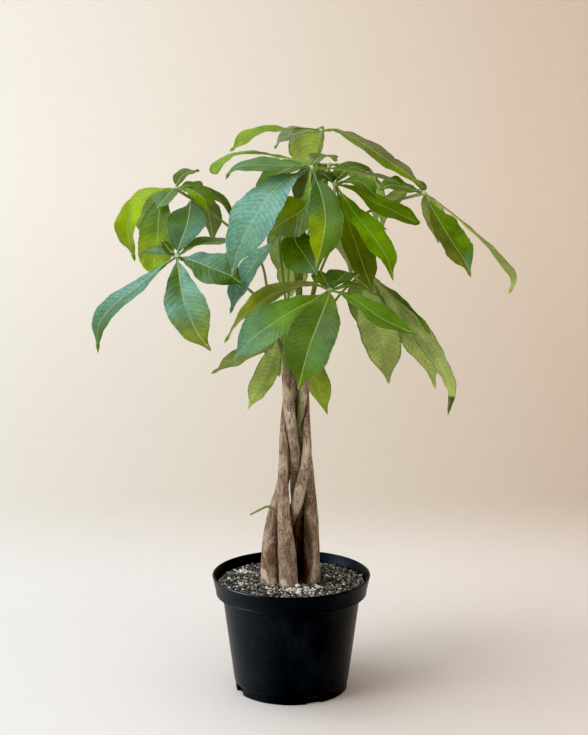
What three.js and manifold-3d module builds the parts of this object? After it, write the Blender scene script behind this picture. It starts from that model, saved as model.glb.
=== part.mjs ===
// A potted money tree: five braided woody stems in a round nursery pot, with palmate leaves.
// Millimetres, +Z up. The origin is the middle of the pot's base, and the front is towards -Y.

import * as THREE from "three";
import { mergeVertices } from "three/addons/utils/BufferGeometryUtils.js";
import Module from "manifold-3d";

const wasm = await Module();
wasm.setup();

// Driving dimensions

const POT_HEIGHT = 124;
const POT_RIM_RADIUS = 82.5;
const POT_RIM_DEPTH = 20.5;
const POT_BODY_RADIUS = 71.9;
const POT_FOOT_RADIUS = 58.6;
const POT_FOOT_HEIGHT = 10;
const POT_WALL = 1.6;
const POT_FLOOR = 2.2;
const POT_UNDERSIDE_LIFT = 3;
const POT_PAD_RADIUS = 24;
const POT_SIDES = 36;

const DRAIN_COUNT = 4;
const DRAIN_WIDTH = 16.5;
const DRAIN_HEIGHT = 8;
const DRAIN_DEPTH = 4;
const DRAIN_FIRST_AZIMUTH = 23;

const SOIL_TOP = 114;
const SOIL_MOUND = 2;
const SOIL_MOUND_REACH = 38;
const SOIL_RELIEF = 0.65;
const SOIL_RINGS = [77.6, 64, 50, 36, 22, 10];

const SEAT_GAP = 0.35;

const STEM_SIDES = 10;
const STEM_STEP = 15;
const STEM_FLUTES = 0.05;
const STEM_FLUTE_COUNT = 3;
const STEM_FLUTE_TWIST = 5;

const SIDE_SHOOT_RADIUS = 1.5;
const SIDE_SHOOT_TAPER = 0.4;
const SIDE_SHOOT_SIDES = 6;
const SIDE_SHOOT_STEP = 6;

const PETIOLE_RADIUS = 1.6;
const PETIOLE_SWELLING = 0.5;
const PETIOLE_SIDES = 5;
const PETIOLE_STEP = 24;
const HUB_RADIUS = 3.6;

const BLADE_THICKNESS = 0.8;
const RIB_DEPTH = 0.7;
const BLADE_FOLD = 0.16;
const BLADE_WAVE = 1.3;
const BLADE_WAVES = 2.5;
const BLADE_WIDEST_LATE = 1.2;
const BLADE_ROUNDNESS = 0.95;
const FLAT_HALF_WIDTH = 1.8;
const SHAPED_HALF_WIDTH = 7.8;
const STALK_HALF_WIDTH = 1.3;
const STALK_SHARE = 0.05;
const STALK_TAPER = 0.6;
const RIB_TAPER = 0.8;
const TIP_NARROWS_FROM = 0.78;
const TIP_NARROWS_TO = 0.96;
const TIP_NARROWING = 0.45;
const FRAME_STEPS = 50;
const BLADE_STATIONS = [1, 10, 20, 31, 42, 50];

// Finishes

function finish(color, roughness) {
  return new THREE.MeshStandardMaterial({ color, roughness, metalness: 0 });
}

const potPlastic = finish(0x17191c, 0.45);
const pottingMix = finish(0x3a332c, 0.95);
const bark = finish(0x7d6a58, 0.85);
const twigGreen = finish(0x6f8a3a, 0.6);
const leafGreen = finish(0x3f7a2c, 0.42);

// Solids

function solidOf(geometry) {
  const bare = geometry.clone();
  bare.deleteAttribute("normal");
  bare.deleteAttribute("uv");
  const merged = mergeVertices(bare, 1e-4);
  return new wasm.Manifold(
    new wasm.Mesh({
      numProp: 3,
      vertProperties: Float32Array.from(merged.attributes.position.array),
      triVerts: Uint32Array.from(merged.index.array),
    }),
  );
}

function namedMesh(name, solid, material) {
  const pieces = solid.decompose().sort((a, b) => b.volume() - a.volume());
  const { vertProperties, triVerts } = pieces[0].getMesh();
  const geometry = new THREE.BufferGeometry();
  geometry.setAttribute("position", new THREE.BufferAttribute(Float32Array.from(vertProperties), 3));
  geometry.setIndex(new THREE.BufferAttribute(Uint32Array.from(triVerts), 1));
  geometry.computeVertexNormals();
  const mesh = new THREE.Mesh(geometry, material);
  mesh.name = name;
  return mesh;
}

// A closed skin over rings of points. Columns in otherSplit cut their four-sided faces the other way.
function skin(rings, otherSplit = []) {
  const count = rings[0].length;
  const positions = rings.flat().flatMap((point) => [point.x, point.y, point.z]);
  const faces = [];
  for (let ring = 0; ring < rings.length - 1; ring += 1) {
    for (let column = 0; column < count; column += 1) {
      const next = (column + 1) % count;
      const a = ring * count + column;
      const b = ring * count + next;
      const c = (ring + 1) * count + next;
      const d = (ring + 1) * count + column;
      if (otherSplit.includes(column)) {
        faces.push([a, b, d], [b, c, d]);
      } else {
        faces.push([a, b, c], [a, c, d]);
      }
    }
  }
  const last = (rings.length - 1) * count;
  for (let column = 1; column < count - 1; column += 1) {
    faces.push([0, column + 1, column], [last, last + column, last + column + 1]);
  }
  const geometry = new THREE.BufferGeometry();
  geometry.setAttribute("position", new THREE.Float32BufferAttribute(positions, 3));
  geometry.setIndex(faces.flat());
  return solidOf(geometry);
}

function union(solids) {
  return solids.slice(1).reduce((whole, solid) => whole.add(solid), solids[0]);
}

function vector([x, y, z]) {
  return new THREE.Vector3(x, y, z);
}

// Frames carried along a curve without twisting, from a first normal.
function framesAlong(curve, steps, firstNormal) {
  const frames = [];
  let normal = firstNormal.clone();
  for (let step = 0; step <= steps; step += 1) {
    const middle = curve.getPointAt(step / steps);
    const along = curve.getTangentAt(step / steps).normalize();
    normal = normal.clone().addScaledVector(along, -normal.dot(along)).normalize();
    frames.push({ middle, along, normal, side: along.clone().cross(normal) });
  }
  return frames;
}

// A round tube through points. Its radius is a function of the share of its length, and of the share
// of its points passed there. Its flutes are a function of the angle round it and the share.
function tube(points, radiusAt, sides, step, fluteAt = () => 1) {
  const curve = new THREE.CatmullRomCurve3(points.map(vector));
  const steps = Math.max(2, Math.round(curve.getLength() / step));
  const across = Math.abs(curve.getTangentAt(0).x) > 0.9 ? [0, 1, 0] : [1, 0, 0];
  const rings = framesAlong(curve, steps, vector(across)).map(({ middle, normal, side }, index) => {
    const radius = radiusAt(index / steps, curve.getUtoTmapping(index / steps));
    return Array.from({ length: sides }, (unused, corner) => {
      const angle = (2 * Math.PI * corner) / sides;
      const reach = radius * fluteAt(angle, index / steps);
      return middle
        .clone()
        .addScaledVector(normal, reach * Math.cos(angle))
        .addScaledVector(side, reach * Math.sin(angle));
    });
  });
  return skin(rings);
}

// Pot

const innerFoot = POT_FOOT_RADIUS - 1.3;
const innerBody = POT_BODY_RADIUS - POT_WALL;
const rimBottom = POT_HEIGHT - POT_RIM_DEPTH;
const innerLedge = POT_RIM_RADIUS - 6;
const innerUnderLedge = innerBody - 0.3;
const floorTop = POT_UNDERSIDE_LIFT + POT_FLOOR;

function potProfile() {
  const ringInside = POT_FOOT_RADIUS - 6;
  return [
    [0, 0],
    [POT_PAD_RADIUS, 0],
    [POT_PAD_RADIUS + 2, POT_UNDERSIDE_LIFT],
    [ringInside - 2, POT_UNDERSIDE_LIFT],
    [ringInside, 0],
    [POT_FOOT_RADIUS, 0],
    [POT_FOOT_RADIUS + 0.4, POT_FOOT_HEIGHT - 0.5],
    [POT_FOOT_RADIUS + 1.4, POT_FOOT_HEIGHT],
    [POT_BODY_RADIUS, rimBottom - 2],
    [POT_RIM_RADIUS - 4.4, rimBottom],
    [POT_RIM_RADIUS - 3.6, rimBottom + 0.9],
    [POT_RIM_RADIUS - 4.1, rimBottom + 2.4],
    [POT_RIM_RADIUS - 0.3, POT_HEIGHT - 1.6],
    [POT_RIM_RADIUS, POT_HEIGHT - 0.5],
    [POT_RIM_RADIUS - 0.7, POT_HEIGHT],
    [POT_RIM_RADIUS - 2, POT_HEIGHT - 0.3],
    [innerLedge, rimBottom + 3],
    [innerBody, rimBottom + 0.6],
    [innerUnderLedge, rimBottom - 2],
    [innerFoot, floorTop],
    [0, floorTop],
  ].map(([radius, height]) => new THREE.Vector2(radius, height));
}

function lathe(profile, sides) {
  const geometry = new THREE.LatheGeometry(profile, sides);
  geometry.rotateX(Math.PI / 2);
  const solid = solidOf(geometry);
  return solid.volume() > 0 ? solid : solidOf(flipped(geometry));
}

function flipped(geometry) {
  const turned = geometry.clone();
  const index = turned.index.array;
  for (let corner = 0; corner < index.length; corner += 3) {
    [index[corner + 1], index[corner + 2]] = [index[corner + 2], index[corner + 1]];
  }
  return turned;
}

function drainCutter(number) {
  const length = 30;
  const height = DRAIN_HEIGHT + 5;
  const cutter = new THREE.BoxGeometry(length, DRAIN_WIDTH, height);
  cutter.translate(POT_FOOT_RADIUS - DRAIN_DEPTH + length / 2, 0, DRAIN_HEIGHT - height / 2);
  const azimuth = DRAIN_FIRST_AZIMUTH + (360 / DRAIN_COUNT) * number;
  cutter.rotateZ(THREE.MathUtils.degToRad(azimuth));
  return solidOf(cutter);
}

function potSolid() {
  let pot = lathe(potProfile(), POT_SIDES);
  for (let number = 0; number < DRAIN_COUNT; number += 1) {
    pot = pot.subtract(drainCutter(number));
  }
  return pot;
}

// Soil

function soilHeight(radius, angle) {
  const x = radius * Math.cos(angle);
  const y = radius * Math.sin(angle);
  const mound = SOIL_MOUND * Math.exp(-((radius / SOIL_MOUND_REACH) ** 2));
  const unevenness = Math.sin(x * 0.37 + 1.3) * Math.cos(y * 0.43) + Math.sin(x * 0.91 - y * 0.77) * 0.7;
  return SOIL_TOP + mound + SOIL_RELIEF * unevenness;
}

function soilSolid() {
  const wall = [
    [innerFoot - SEAT_GAP, floorTop + SEAT_GAP],
    [innerUnderLedge - SEAT_GAP, rimBottom - 2],
    [innerBody - SEAT_GAP, rimBottom + 0.8 + SEAT_GAP],
    [innerLedge - SEAT_GAP, rimBottom + 3 + SEAT_GAP],
  ];
  const corners = Array.from({ length: POT_SIDES }, (unused, corner) => {
    return (2 * Math.PI * corner) / POT_SIDES - Math.PI / 2;
  });
  const ringAt = (radius, heightAt) => {
    return corners.map((angle) => {
      return vector([radius * Math.cos(angle), radius * Math.sin(angle), heightAt(radius, angle)]);
    });
  };
  return skin([
    ...wall.map(([radius, height]) => ringAt(radius, () => height)),
    ...SOIL_RINGS.map((radius) => ringAt(radius, soilHeight)),
  ]);
}

// Stems: points from the soil up as [x, y, z, radius]

const STEMS = {
  stem_left: [
    [-23, -4, 55, 10.5], [-22.5, -4, 116, 10.3], [-22.5, -3, 154, 8.4], [-18.5, -1, 185, 7.4],
    [-10, 4, 216, 6.4], [-5, 6, 242, 6], [0, 7, 263, 5.6], [3, 6, 287, 5.2], [4, 5, 317, 4.8],
    [5, 6, 347, 4.4], [7, 5, 382, 4], [8, 3, 417, 3.5], [8, 2, 449, 2.8],
  ],
  stem_front: [
    [-3.5, -14, 55, 10.6], [-3, -14, 116, 9.8], [-5, -13, 154, 9.2], [-7.4, -12, 185, 7.3],
    [-8.3, -11, 216, 5.8], [-7.6, -10, 252, 5], [-6.8, -5, 282, 4.6], [-4.5, 3, 308, 4.4],
    [-2, 10, 332, 4], [-1.5, 15, 359, 3.6], [-2, 18, 391, 2.9],
  ],
  stem_back_right: [
    [9, 17, 55, 10.4], [9, 17, 116, 9.6], [9, 13, 154, 8.2], [8, 11, 185, 7.2], [5.5, 7, 212, 6.4],
    [4.5, -1, 235, 5.9], [2.5, -7, 261, 5.8], [0, -9, 285, 5.7], [-2.4, -9, 307, 5.6],
    [-4.5, -8, 330, 4.9], [-6.2, -6, 349, 4], [-7.5, -6, 369, 3],
  ],
  stem_back_left: [
    [-11, 15, 55, 10], [-12, 14, 116, 9.4], [-9, 12, 147, 8.2], [-2.5, 6, 179, 7], [4.5, -5, 197, 6.2],
    [9, -11, 216, 5.9], [14.2, -12, 240, 5.3], [16.4, -8, 263, 4.6], [15.4, -2, 285, 4.3],
    [14.6, 4, 308, 4.1], [14.5, 10, 337, 3.8], [16.5, 14, 372, 3.4], [19, 16, 406, 2.8],
  ],
  stem_right: [
    [21.5, 0, 55, 10.8], [21.2, 0, 116, 10], [20.8, 0, 154, 8.8], [20.6, 0, 185, 7.5],
    [19, 1, 216, 5.8], [17, 3, 243, 5], [13, 5, 263, 4.6], [9.3, 2, 280, 4.4], [10, -3, 300, 4.4],
    [12.3, -5, 319, 4.3], [15, -9, 344, 3.9], [17, -11, 375, 3.5], [17.5, -9, 407, 2.8],
  ],
};

function valueAlong(values, share) {
  const place = share * (values.length - 1);
  const below = Math.min(Math.floor(place), values.length - 2);
  return THREE.MathUtils.lerp(values[below], values[below + 1], place - below);
}

function stemSolid(points, grown, turn) {
  const radii = points.map((point) => point[3] + grown);
  const flute = (angle, share) => {
    return 1 + STEM_FLUTES * Math.sin(STEM_FLUTE_COUNT * angle + turn + STEM_FLUTE_TWIST * share);
  };
  return tube(points, (share, knots) => valueAlong(radii, knots), STEM_SIDES, STEM_STEP, flute);
}

// What a stem takes up with the gap round it and under it.
function stemRoom([[x, y, z, radius], ...rest], turn) {
  return stemSolid([[x, y, z - SEAT_GAP, radius], ...rest], SEAT_GAP, turn);
}

function braid() {
  const stems = {};
  const rooms = [];
  Object.entries(STEMS).forEach(([name, points], turn) => {
    stems[name] = rooms.reduce((left, room) => left.subtract(room), stemSolid(points, 0, turn));
    rooms.push(stemRoom(points, turn));
  });
  return { stems, around: union(rooms) };
}

// Side shoot: a thin bent twig between the two front stems

const SIDE_SHOOT = [[-13, -8, 186], [-17, -15, 196], [-24, -18, 201.5], [-33, -19, 198], [-42.5, -19, 193]];

function sideShootSolid() {
  const radiusAt = (share) => SIDE_SHOOT_RADIUS * (1 - SIDE_SHOOT_TAPER * share);
  return tube(SIDE_SHOOT, radiusAt, SIDE_SHOOT_SIDES, SIDE_SHOOT_STEP);
}

// Leaves. A leaf is a petiole from a stem to its hub, and leaflets that spread from the hub.
// Petiole points are places in the plant. A leaflet is its width, the way its face looks, and
// points of its midrib measured from the hub, the last one its tip.

const LEAVES = {
  leaf_left_front: {
    petiole: [[-7, -6, 359], [-13, -10, 375], [-23, -18, 397], [-37, -27, 425], [-60, -41, 443],
      [-88, -57, 458]],
    hub: [-112, -70, 471],
    leaflets: [
      [28, [0, -0.3, 1], [-16, -10, -13], [-37, -20, -33], [-61, -26, -52], [-77, -28, -74],
        [-77, -26, -94]],
      [43, [0, -0.3, 1], [4, -23, -21], [10, -42, -41], [18, -54, -60], [35, -60, -82]],
      [42, [-0.1, -0.7, 1], [19, -10, -4], [36, -16, -10], [53, -20, -16], [65, -22, -25]],
      [34, [0, -0.2, 1], [13, 4, -10], [24, 10, -20], [34, 16, -30]],
      [30, [0, 0, 1], [13, 12, 7], [30, 20, 10], [45, 24, 10], [61, 26, 4]],
      [40, [0, 0, 1], [3, 12, 11], [8, 25, 24], [11, 36, 38], [12, 44, 49]],
      [26, [0, 0, 1], [-16, 4, 3], [-29, 10, 3], [-38, 16, -3]],
      [20, [0, 0, 1], [-4, 6, 10], [-9, 13, 20]],
    ],
  },
  leaf_left_back: {
    petiole: [[-4, 10, 338], [-11, 12, 362], [-19, 14, 393], [-25, 13, 426], [-30, 12, 449], [-45, 11, 471],
      [-67, 12, 491], [-92, 14, 510]],
    hub: [-117, 15, 526],
    leaflets: [
      [44, [-0.6, -0.5, 1], [-19, -7, -1], [-36, -13, -11], [-46, -17, -26], [-47, -20, -45],
        [-41, -21, -71]],
      [40, [0, -0.4, 1], [-9, -11, -3], [-14, -21, -12], [-16, -31, -30], [-17, -36, -49], [-23, -39, -80]],
      [24, [0, 0, 1], [-6, -17, -3], [-17, -35, -16]],
      [30, [0, 0, 1], [15, -13, 1], [28, -23, -6], [34, -29, -20]],
      [28, [0.3, -0.1, 1], [19, 8, 2], [35, 14, -2], [48, 18, -10], [56, 20, -23], [54, 20, -42]],
      [20, [-0.3, 0, 1], [4, 11, 9], [11, 21, 14], [23, 31, 15]],
      [20, [0, 0, 1], [14, 1, 3], [31, -1, 1]],
      [36, [0, 0.3, 1], [-14, 22, -5], [-25, 44, -20], [-30, 58, -44], [-30, 64, -70]],
      [34, [0.2, 0.3, 1], [6, 26, -4], [14, 52, -16], [20, 70, -38], [22, 78, -64]],
    ],
  },
  leaf_top: {
    petiole: [[8, 2, 444], [12, 8, 475], [20, 15, 517], [27, 19, 557]],
    hub: [30, 20, 584],
    leaflets: [
      [36, [0, -0.18, 1], [-12, -8, 3], [-34, -20, 4], [-59, -29, 3], [-76, -34, -5], [-86, -37, -12],
        [-91, -38, -16]],
      [30, [0, 0, 1], [-19, 14, 1], [-34, 24, -2], [-43, 29, -7], [-46, 31, -11]],
      [38, [0, 0, 1], [-8, 14, 2], [-15, 26, -1], [-18, 33, -12], [-17, 36, -26], [-9, 37, -42]],
      [34, [0, -0.08, 1], [12, -4, 2], [31, -10, -4], [52, -17, -12], [73, -22, -27], [90, -24, -40],
        [107, -25, -54]],
      [28, [0, 0, 1], [14, 10, 0], [36, 22, -9], [56, 30, -22], [70, 34, -34]],
    ],
  },
  leaf_upper_front: {
    petiole: [[8, 3, 424], [4, -7, 444], [6, -18, 478], [12, -30, 520], [18, -37, 544]],
    hub: [20, -40, 554],
    leaflets: [
      [36, [0, -0.36, 1], [-15, -10, 4], [-32, -16, 4], [-57, -20, 5], [-74, -22, 4], [-84, -22, -1],
        [-87, -22, -10]],
      [50, [-0.2, -0.6, 1], [-21, -22, -7], [-37, -38, -17], [-49, -50, -34], [-59, -58, -51],
        [-77, -66, -98]],
      [36, [0, -0.4, 1], [-3, -16, -15], [-6, -26, -30], [-20, -32, -46], [-41, -34, -59]],
      [40, [0, -0.3, 1], [9, -26, -21], [13, -42, -39], [12, -52, -58], [4, -58, -90]],
      [30, [0.1, 0.4, 1], [23, -6, 0], [42, -10, -2], [60, -12, -6], [98, -12, -17]],
      [28, [0, 0, 1], [7, 16, 8], [17, 31, 8], [26, 40, 2]],
      [32, [0, 0.15, 1], [-14, 22, 5], [-49, 32, 10], [-74, 37, 9], [-86, 34, 4], [-93, 28, -3],
        [-95, 24, -9]],
    ],
  },
  leaf_upper_right: {
    petiole: [[17.5, -9, 401], [23, -9, 432], [34, -10, 482], [42, -10, 517]],
    hub: [44, -10, 534],
    leaflets: [
      [36, [0.3, -0.6, 1], [19, -24, -26], [40, -38, -51], [51, -44, -69], [57, -47, -90]],
      [34, [0.1, -0.5, 1], [17, -5, -3], [35, -8, -15], [55, -10, -24], [70, -10, -32], [85, -8, -38]],
      [40, [0.2, -0.5, 1], [6, -2, -19], [13, 2, -39], [25, 4, -73], [39, 4, -112]],
      [24, [0, 0, 1], [-8, 10, 6], [-16, 22, 11]],
      [30, [0, 0, 1], [6, 14, 7], [15, 26, 13], [28, 34, 12], [42, 36, 3]],
      [24, [0, -0.3, 1], [17, -8, 5], [30, -16, 1], [42, -20, -13]],
    ],
  },
  leaf_right: {
    petiole: [[20, 16, 400], [26, 18, 429], [42, 18, 467], [66, 14, 495], [98, 3, 513]],
    hub: [133, -10, 525],
    leaflets: [
      [28, [0, -0.4, 1], [-19, -4, 6], [-34, -8, 9], [-46, -12, 5]],
      [22, [0.7, -0.3, 1], [-3, 12, 5], [-8, 24, 10], [-13, 34, 12]],
      [38, [0.3, -0.6, 1], [13, -14, -23], [28, -24, -47], [40, -28, -65], [46, -30, -80]],
      [34, [0.7, 0.45, 1], [30, 4, -22], [59, 8, -48], [78, 10, -70], [92, 10, -90], [88, 8, -104]],
      [34, [0, 0, 1], [8, 20, -6], [17, 38, -20], [25, 50, -42], [29, 54, -60]],
      [30, [0, 0, 1], [-11, 22, 0], [-24, 44, -8], [-35, 58, -26], [-40, 62, -46]],
    ],
  },
  leaf_center: {
    petiole: [[-7, -6, 364], [-4, -18, 384], [-6, -34, 424], [-10, -50, 465]],
    hub: [-12, -60, 493],
    leaflets: [
      [34, [-0.5, -0.5, 1], [-9, -4, -12], [-26, -12, -32], [-38, -16, -50], [-48, -18, -78]],
      [36, [0, -0.8, 1], [20, -4, -5], [30, -10, -21], [39, -12, -41]],
      [30, [0, 0, 1], [-9, 14, 8], [-21, 30, 12], [-33, 42, 6]],
      [26, [0, 0, 1], [11, 16, 8], [21, 32, 10]],
    ],
  },
  leaf_lower_front: {
    petiole: [[16, -10, 359], [18, -20, 379], [24, -42, 409], [33, -68, 430]],
    hub: [38, -80, 439],
    leaflets: [
      [55, [0, -0.3, 1], [-4, -18, -4], [-12, -42, -33], [-22, -54, -59], [-30, -58, -88]],
      [46, [0, -0.9, 1], [-24, -12, -14], [-42, -18, -25], [-59, -22, -36], [-94, -24, -66]],
      [40, [-0.1, -0.4, 1], [-12, 6, 3], [-37, 14, 1], [-57, 20, -7], [-80, 24, -25], [-109, 28, -63]],
      [34, [0, 0, 1], [8, 18, 6], [18, 34, 11], [29, 44, 3]],
      [28, [0, 0, 1], [-4, 22, 6], [-10, 42, 12]],
      [26, [0, -0.2, 1], [18, 2, 4], [32, 8, 0], [47, 12, -8]],
      [34, [0.2, -0.35, 1], [15, -8, -3], [29, -18, -10], [51, -26, -24], [85, -30, -39]],
    ],
  },
  leaf_right_back: {
    petiole: [[18, 10, 342], [24, 12, 369], [36, 12, 396], [50, 13, 418], [65, 17, 432]],
    hub: [77, 20, 440],
    leaflets: [
      [42, [0.2, 1, 0.3], [3, 8, -24], [8, 16, -52], [20, 22, -89], [25, 22, -123]],
      [38, [0.8, 0.9, 0.2], [24, 8, -29], [45, 10, -67], [64, 8, -96], [73, 6, -125]],
      [36, [0.9, 0.5, 0.3], [18, -6, -16], [41, -12, -44], [63, -16, -73], [79, -20, -102], [86, -22, -127],
        [84, -22, -146]],
      [28, [0.7, 0, 1], [11, -14, -7], [31, -22, -26], [51, -27, -44], [65, -29, -61]],
      [38, [0, 0.3, 1], [0, 26, -8], [0, 52, -26], [0, 68, -54], [0, 74, -84]],
      [36, [0.3, 0.2, 1], [15, 18, -20], [30, 34, -47], [41, 42, -72], [45, 42, -92]],
    ],
  },
  leaf_lower_back: {
    petiole: [[-2, 14, 350], [-4, 22, 364]],
    hub: [-7, 30, 379],
    leaflets: [
      [32, [-0.3, 0.7, 1], [-16, -3, -17], [-48, -10, -30], [-76, -14, -45]],
      [30, [-0.4, 1, 0.2], [-8, 4, -18], [-17, 8, -47], [-39, 10, -89]],
      [31, [0.3, 1, 0.2], [15, 2, -23], [32, 4, -56], [45, 4, -93]],
      [34, [0, 0.3, 1], [-2, 24, -4], [-4, 46, -18], [-6, 60, -42], [-6, 64, -66]],
      [32, [0.3, 0.3, 1], [14, 24, -8], [26, 42, -28], [32, 50, -54], [34, 52, -76]],
    ],
  },
  leaf_back_low: {
    petiole: [[-2.5, 18, 385], [-3, 30, 417], [-3, 52, 455]],
    hub: [-1, 70, 484],
    leaflets: [
      [34, [0, 1, 0.2], [1, 2, -25], [1, 2, -51], [-6, -2, -79]],
      [34, [-0.5, 0.6, 0.6], [-23, -8, -14], [-44, -16, -30], [-57, -22, -49]],
      [34, [0, 0, 1], [33, 4, 10], [68, 4, 6], [101, -2, -8]],
      [40, [0, 0.5, 1], [-4, 26, -2], [-8, 52, -18], [-10, 70, -46], [-10, 78, -76]],
      [36, [-0.3, 0.3, 1], [-22, 18, -4], [-44, 36, -18], [-60, 46, -42], [-66, 48, -68]],
      [38, [0.3, 0.3, 1], [22, 22, -4], [44, 44, -18], [60, 56, -42], [66, 60, -70]],
    ],
  },
  leaf_back_high: {
    petiole: [[8, 3, 410], [11, 14, 438], [18, 36, 480], [31, 66, 522]],
    hub: [40, 84, 542],
    leaflets: [
      [34, [-0.2, -0.6, 1], [-22, 6, 0], [-46, 10, -7], [-64, 14, -18], [-75, 16, -32], [-76, 16, -46]],
      [38, [0, 0.3, 1], [-8, 24, -4], [-16, 48, -18], [-20, 64, -44], [-20, 70, -74]],
      [36, [0.2, 0.3, 1], [16, 22, -4], [34, 42, -18], [48, 52, -44], [52, 56, -72]],
      [30, [0.2, 0, 1], [20, -4, 0], [40, -6, -6], [54, -8, -20]],
    ],
  },
};

// Half the width of a leaflet at a share of its length, as a share of its widest.
function outlineAt(share) {
  const along = Math.max(0, (share - STALK_SHARE) / (1 - STALK_SHARE));
  const body = Math.max(0, Math.sin(Math.PI * along ** BLADE_WIDEST_LATE)) ** BLADE_ROUNDNESS;
  const tip = THREE.MathUtils.smoothstep(along, TIP_NARROWS_FROM, TIP_NARROWS_TO);
  return body * (1 - TIP_NARROWING * tip);
}

function bladeSolid(hub, [width, face, ...rib]) {
  const curve = new THREE.CatmullRomCurve3([vector([0, 0, 0]), ...rib.map(vector)]);
  const frames = framesAlong(curve, FRAME_STEPS, vector(face));
  const rings = BLADE_STATIONS.map((station) => {
    const { middle, normal, side } = frames[station];
    const share = station / FRAME_STEPS;
    const half = Math.max((width / 2) * outlineAt(share), STALK_HALF_WIDTH * (1 - STALK_TAPER * share));
    const open = THREE.MathUtils.clamp(
      THREE.MathUtils.inverseLerp(FLAT_HALF_WIDTH, SHAPED_HALF_WIDTH, half), 0, 1,
    );
    const edgeLift = (way) => {
      const wave = Math.sin(2 * Math.PI * BLADE_WAVES * share + way);
      return open * (half * BLADE_FOLD + BLADE_WAVE * wave);
    };
    const corner = (across, lift) => {
      return hub.clone().add(middle).addScaledVector(side, across).addScaledVector(normal, lift);
    };
    const above = BLADE_THICKNESS / 2;
    const ribBelow = above + RIB_DEPTH * (1 - RIB_TAPER * share);
    return [
      corner(-half, edgeLift(-1) + above),
      corner(0, above),
      corner(half, edgeLift(1) + above),
      corner(half, edgeLift(1) - above),
      corner(0, -ribBelow),
      corner(-half, edgeLift(-1) - above),
    ];
  });
  return skin(rings, [3, 4]);
}

function leafSolid({ petiole, hub, leaflets }) {
  const centre = vector(hub);
  const swollen = (share) => PETIOLE_RADIUS * (1 + PETIOLE_SWELLING * Math.abs(2 * share - 1) ** 6);
  const knot = new THREE.IcosahedronGeometry(HUB_RADIUS, 0);
  knot.translate(...hub);
  return union([
    tube([...petiole, hub], swollen, PETIOLE_SIDES, PETIOLE_STEP),
    solidOf(knot),
    ...leaflets.map((leaflet) => bladeSolid(centre, leaflet)),
  ]);
}

// The whole plant

const plant = new THREE.Group();
const { stems, around } = braid();

plant.add(namedMesh("pot", potSolid(), potPlastic));
plant.add(namedMesh("soil", soilSolid().subtract(around), pottingMix));
for (const [name, solid] of Object.entries(stems)) {
  plant.add(namedMesh(name, solid, bark));
}
plant.add(namedMesh("side_shoot", sideShootSolid().subtract(around), twigGreen));
for (const [name, leaf] of Object.entries(LEAVES)) {
  plant.add(namedMesh(name, leafSolid(leaf).subtract(around), leafGreen));
}

export default plant;
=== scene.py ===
"""Dresses the packed solids of a potted money tree: pot, potting mix, braided stems and palmate leaves.

It is laid out as an add-on and run as a script. Everything is in metres in the frame of the solids,
with +Z up and the front towards -Y. Tables of points are in millimetres, as in the part's source.
"""

import math

import bmesh
import bpy
import numpy as np
from bpy.props import FloatProperty, FloatVectorProperty, IntProperty, PointerProperty
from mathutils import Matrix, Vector


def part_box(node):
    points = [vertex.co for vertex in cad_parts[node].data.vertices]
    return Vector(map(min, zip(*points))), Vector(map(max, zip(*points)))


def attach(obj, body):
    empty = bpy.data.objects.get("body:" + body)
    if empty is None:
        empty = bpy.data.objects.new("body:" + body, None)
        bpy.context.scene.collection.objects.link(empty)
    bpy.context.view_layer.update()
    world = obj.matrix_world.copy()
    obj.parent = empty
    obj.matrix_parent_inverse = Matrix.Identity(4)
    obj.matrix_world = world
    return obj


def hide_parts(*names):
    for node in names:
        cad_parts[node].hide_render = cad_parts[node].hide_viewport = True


bl_info = {
    "name": "Potted money tree",
    "version": (1, 0, 0),
    "blender": (4, 5, 0),
    "location": "3D View > Sidebar > Money tree",
    "description": "Builds a potted money tree: pot, potting mix, braided stems and palmate leaves",
    "category": "Add Mesh",
}

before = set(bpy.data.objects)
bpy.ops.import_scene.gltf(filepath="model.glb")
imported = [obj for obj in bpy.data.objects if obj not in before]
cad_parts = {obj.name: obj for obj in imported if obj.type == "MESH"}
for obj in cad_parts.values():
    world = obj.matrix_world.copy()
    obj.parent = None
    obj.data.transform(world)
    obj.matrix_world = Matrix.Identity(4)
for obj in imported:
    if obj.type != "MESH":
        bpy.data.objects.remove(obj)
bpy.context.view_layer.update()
BODY = "root"
MM = 0.001

# Stems from the soil up: x, y, z and radius

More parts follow.
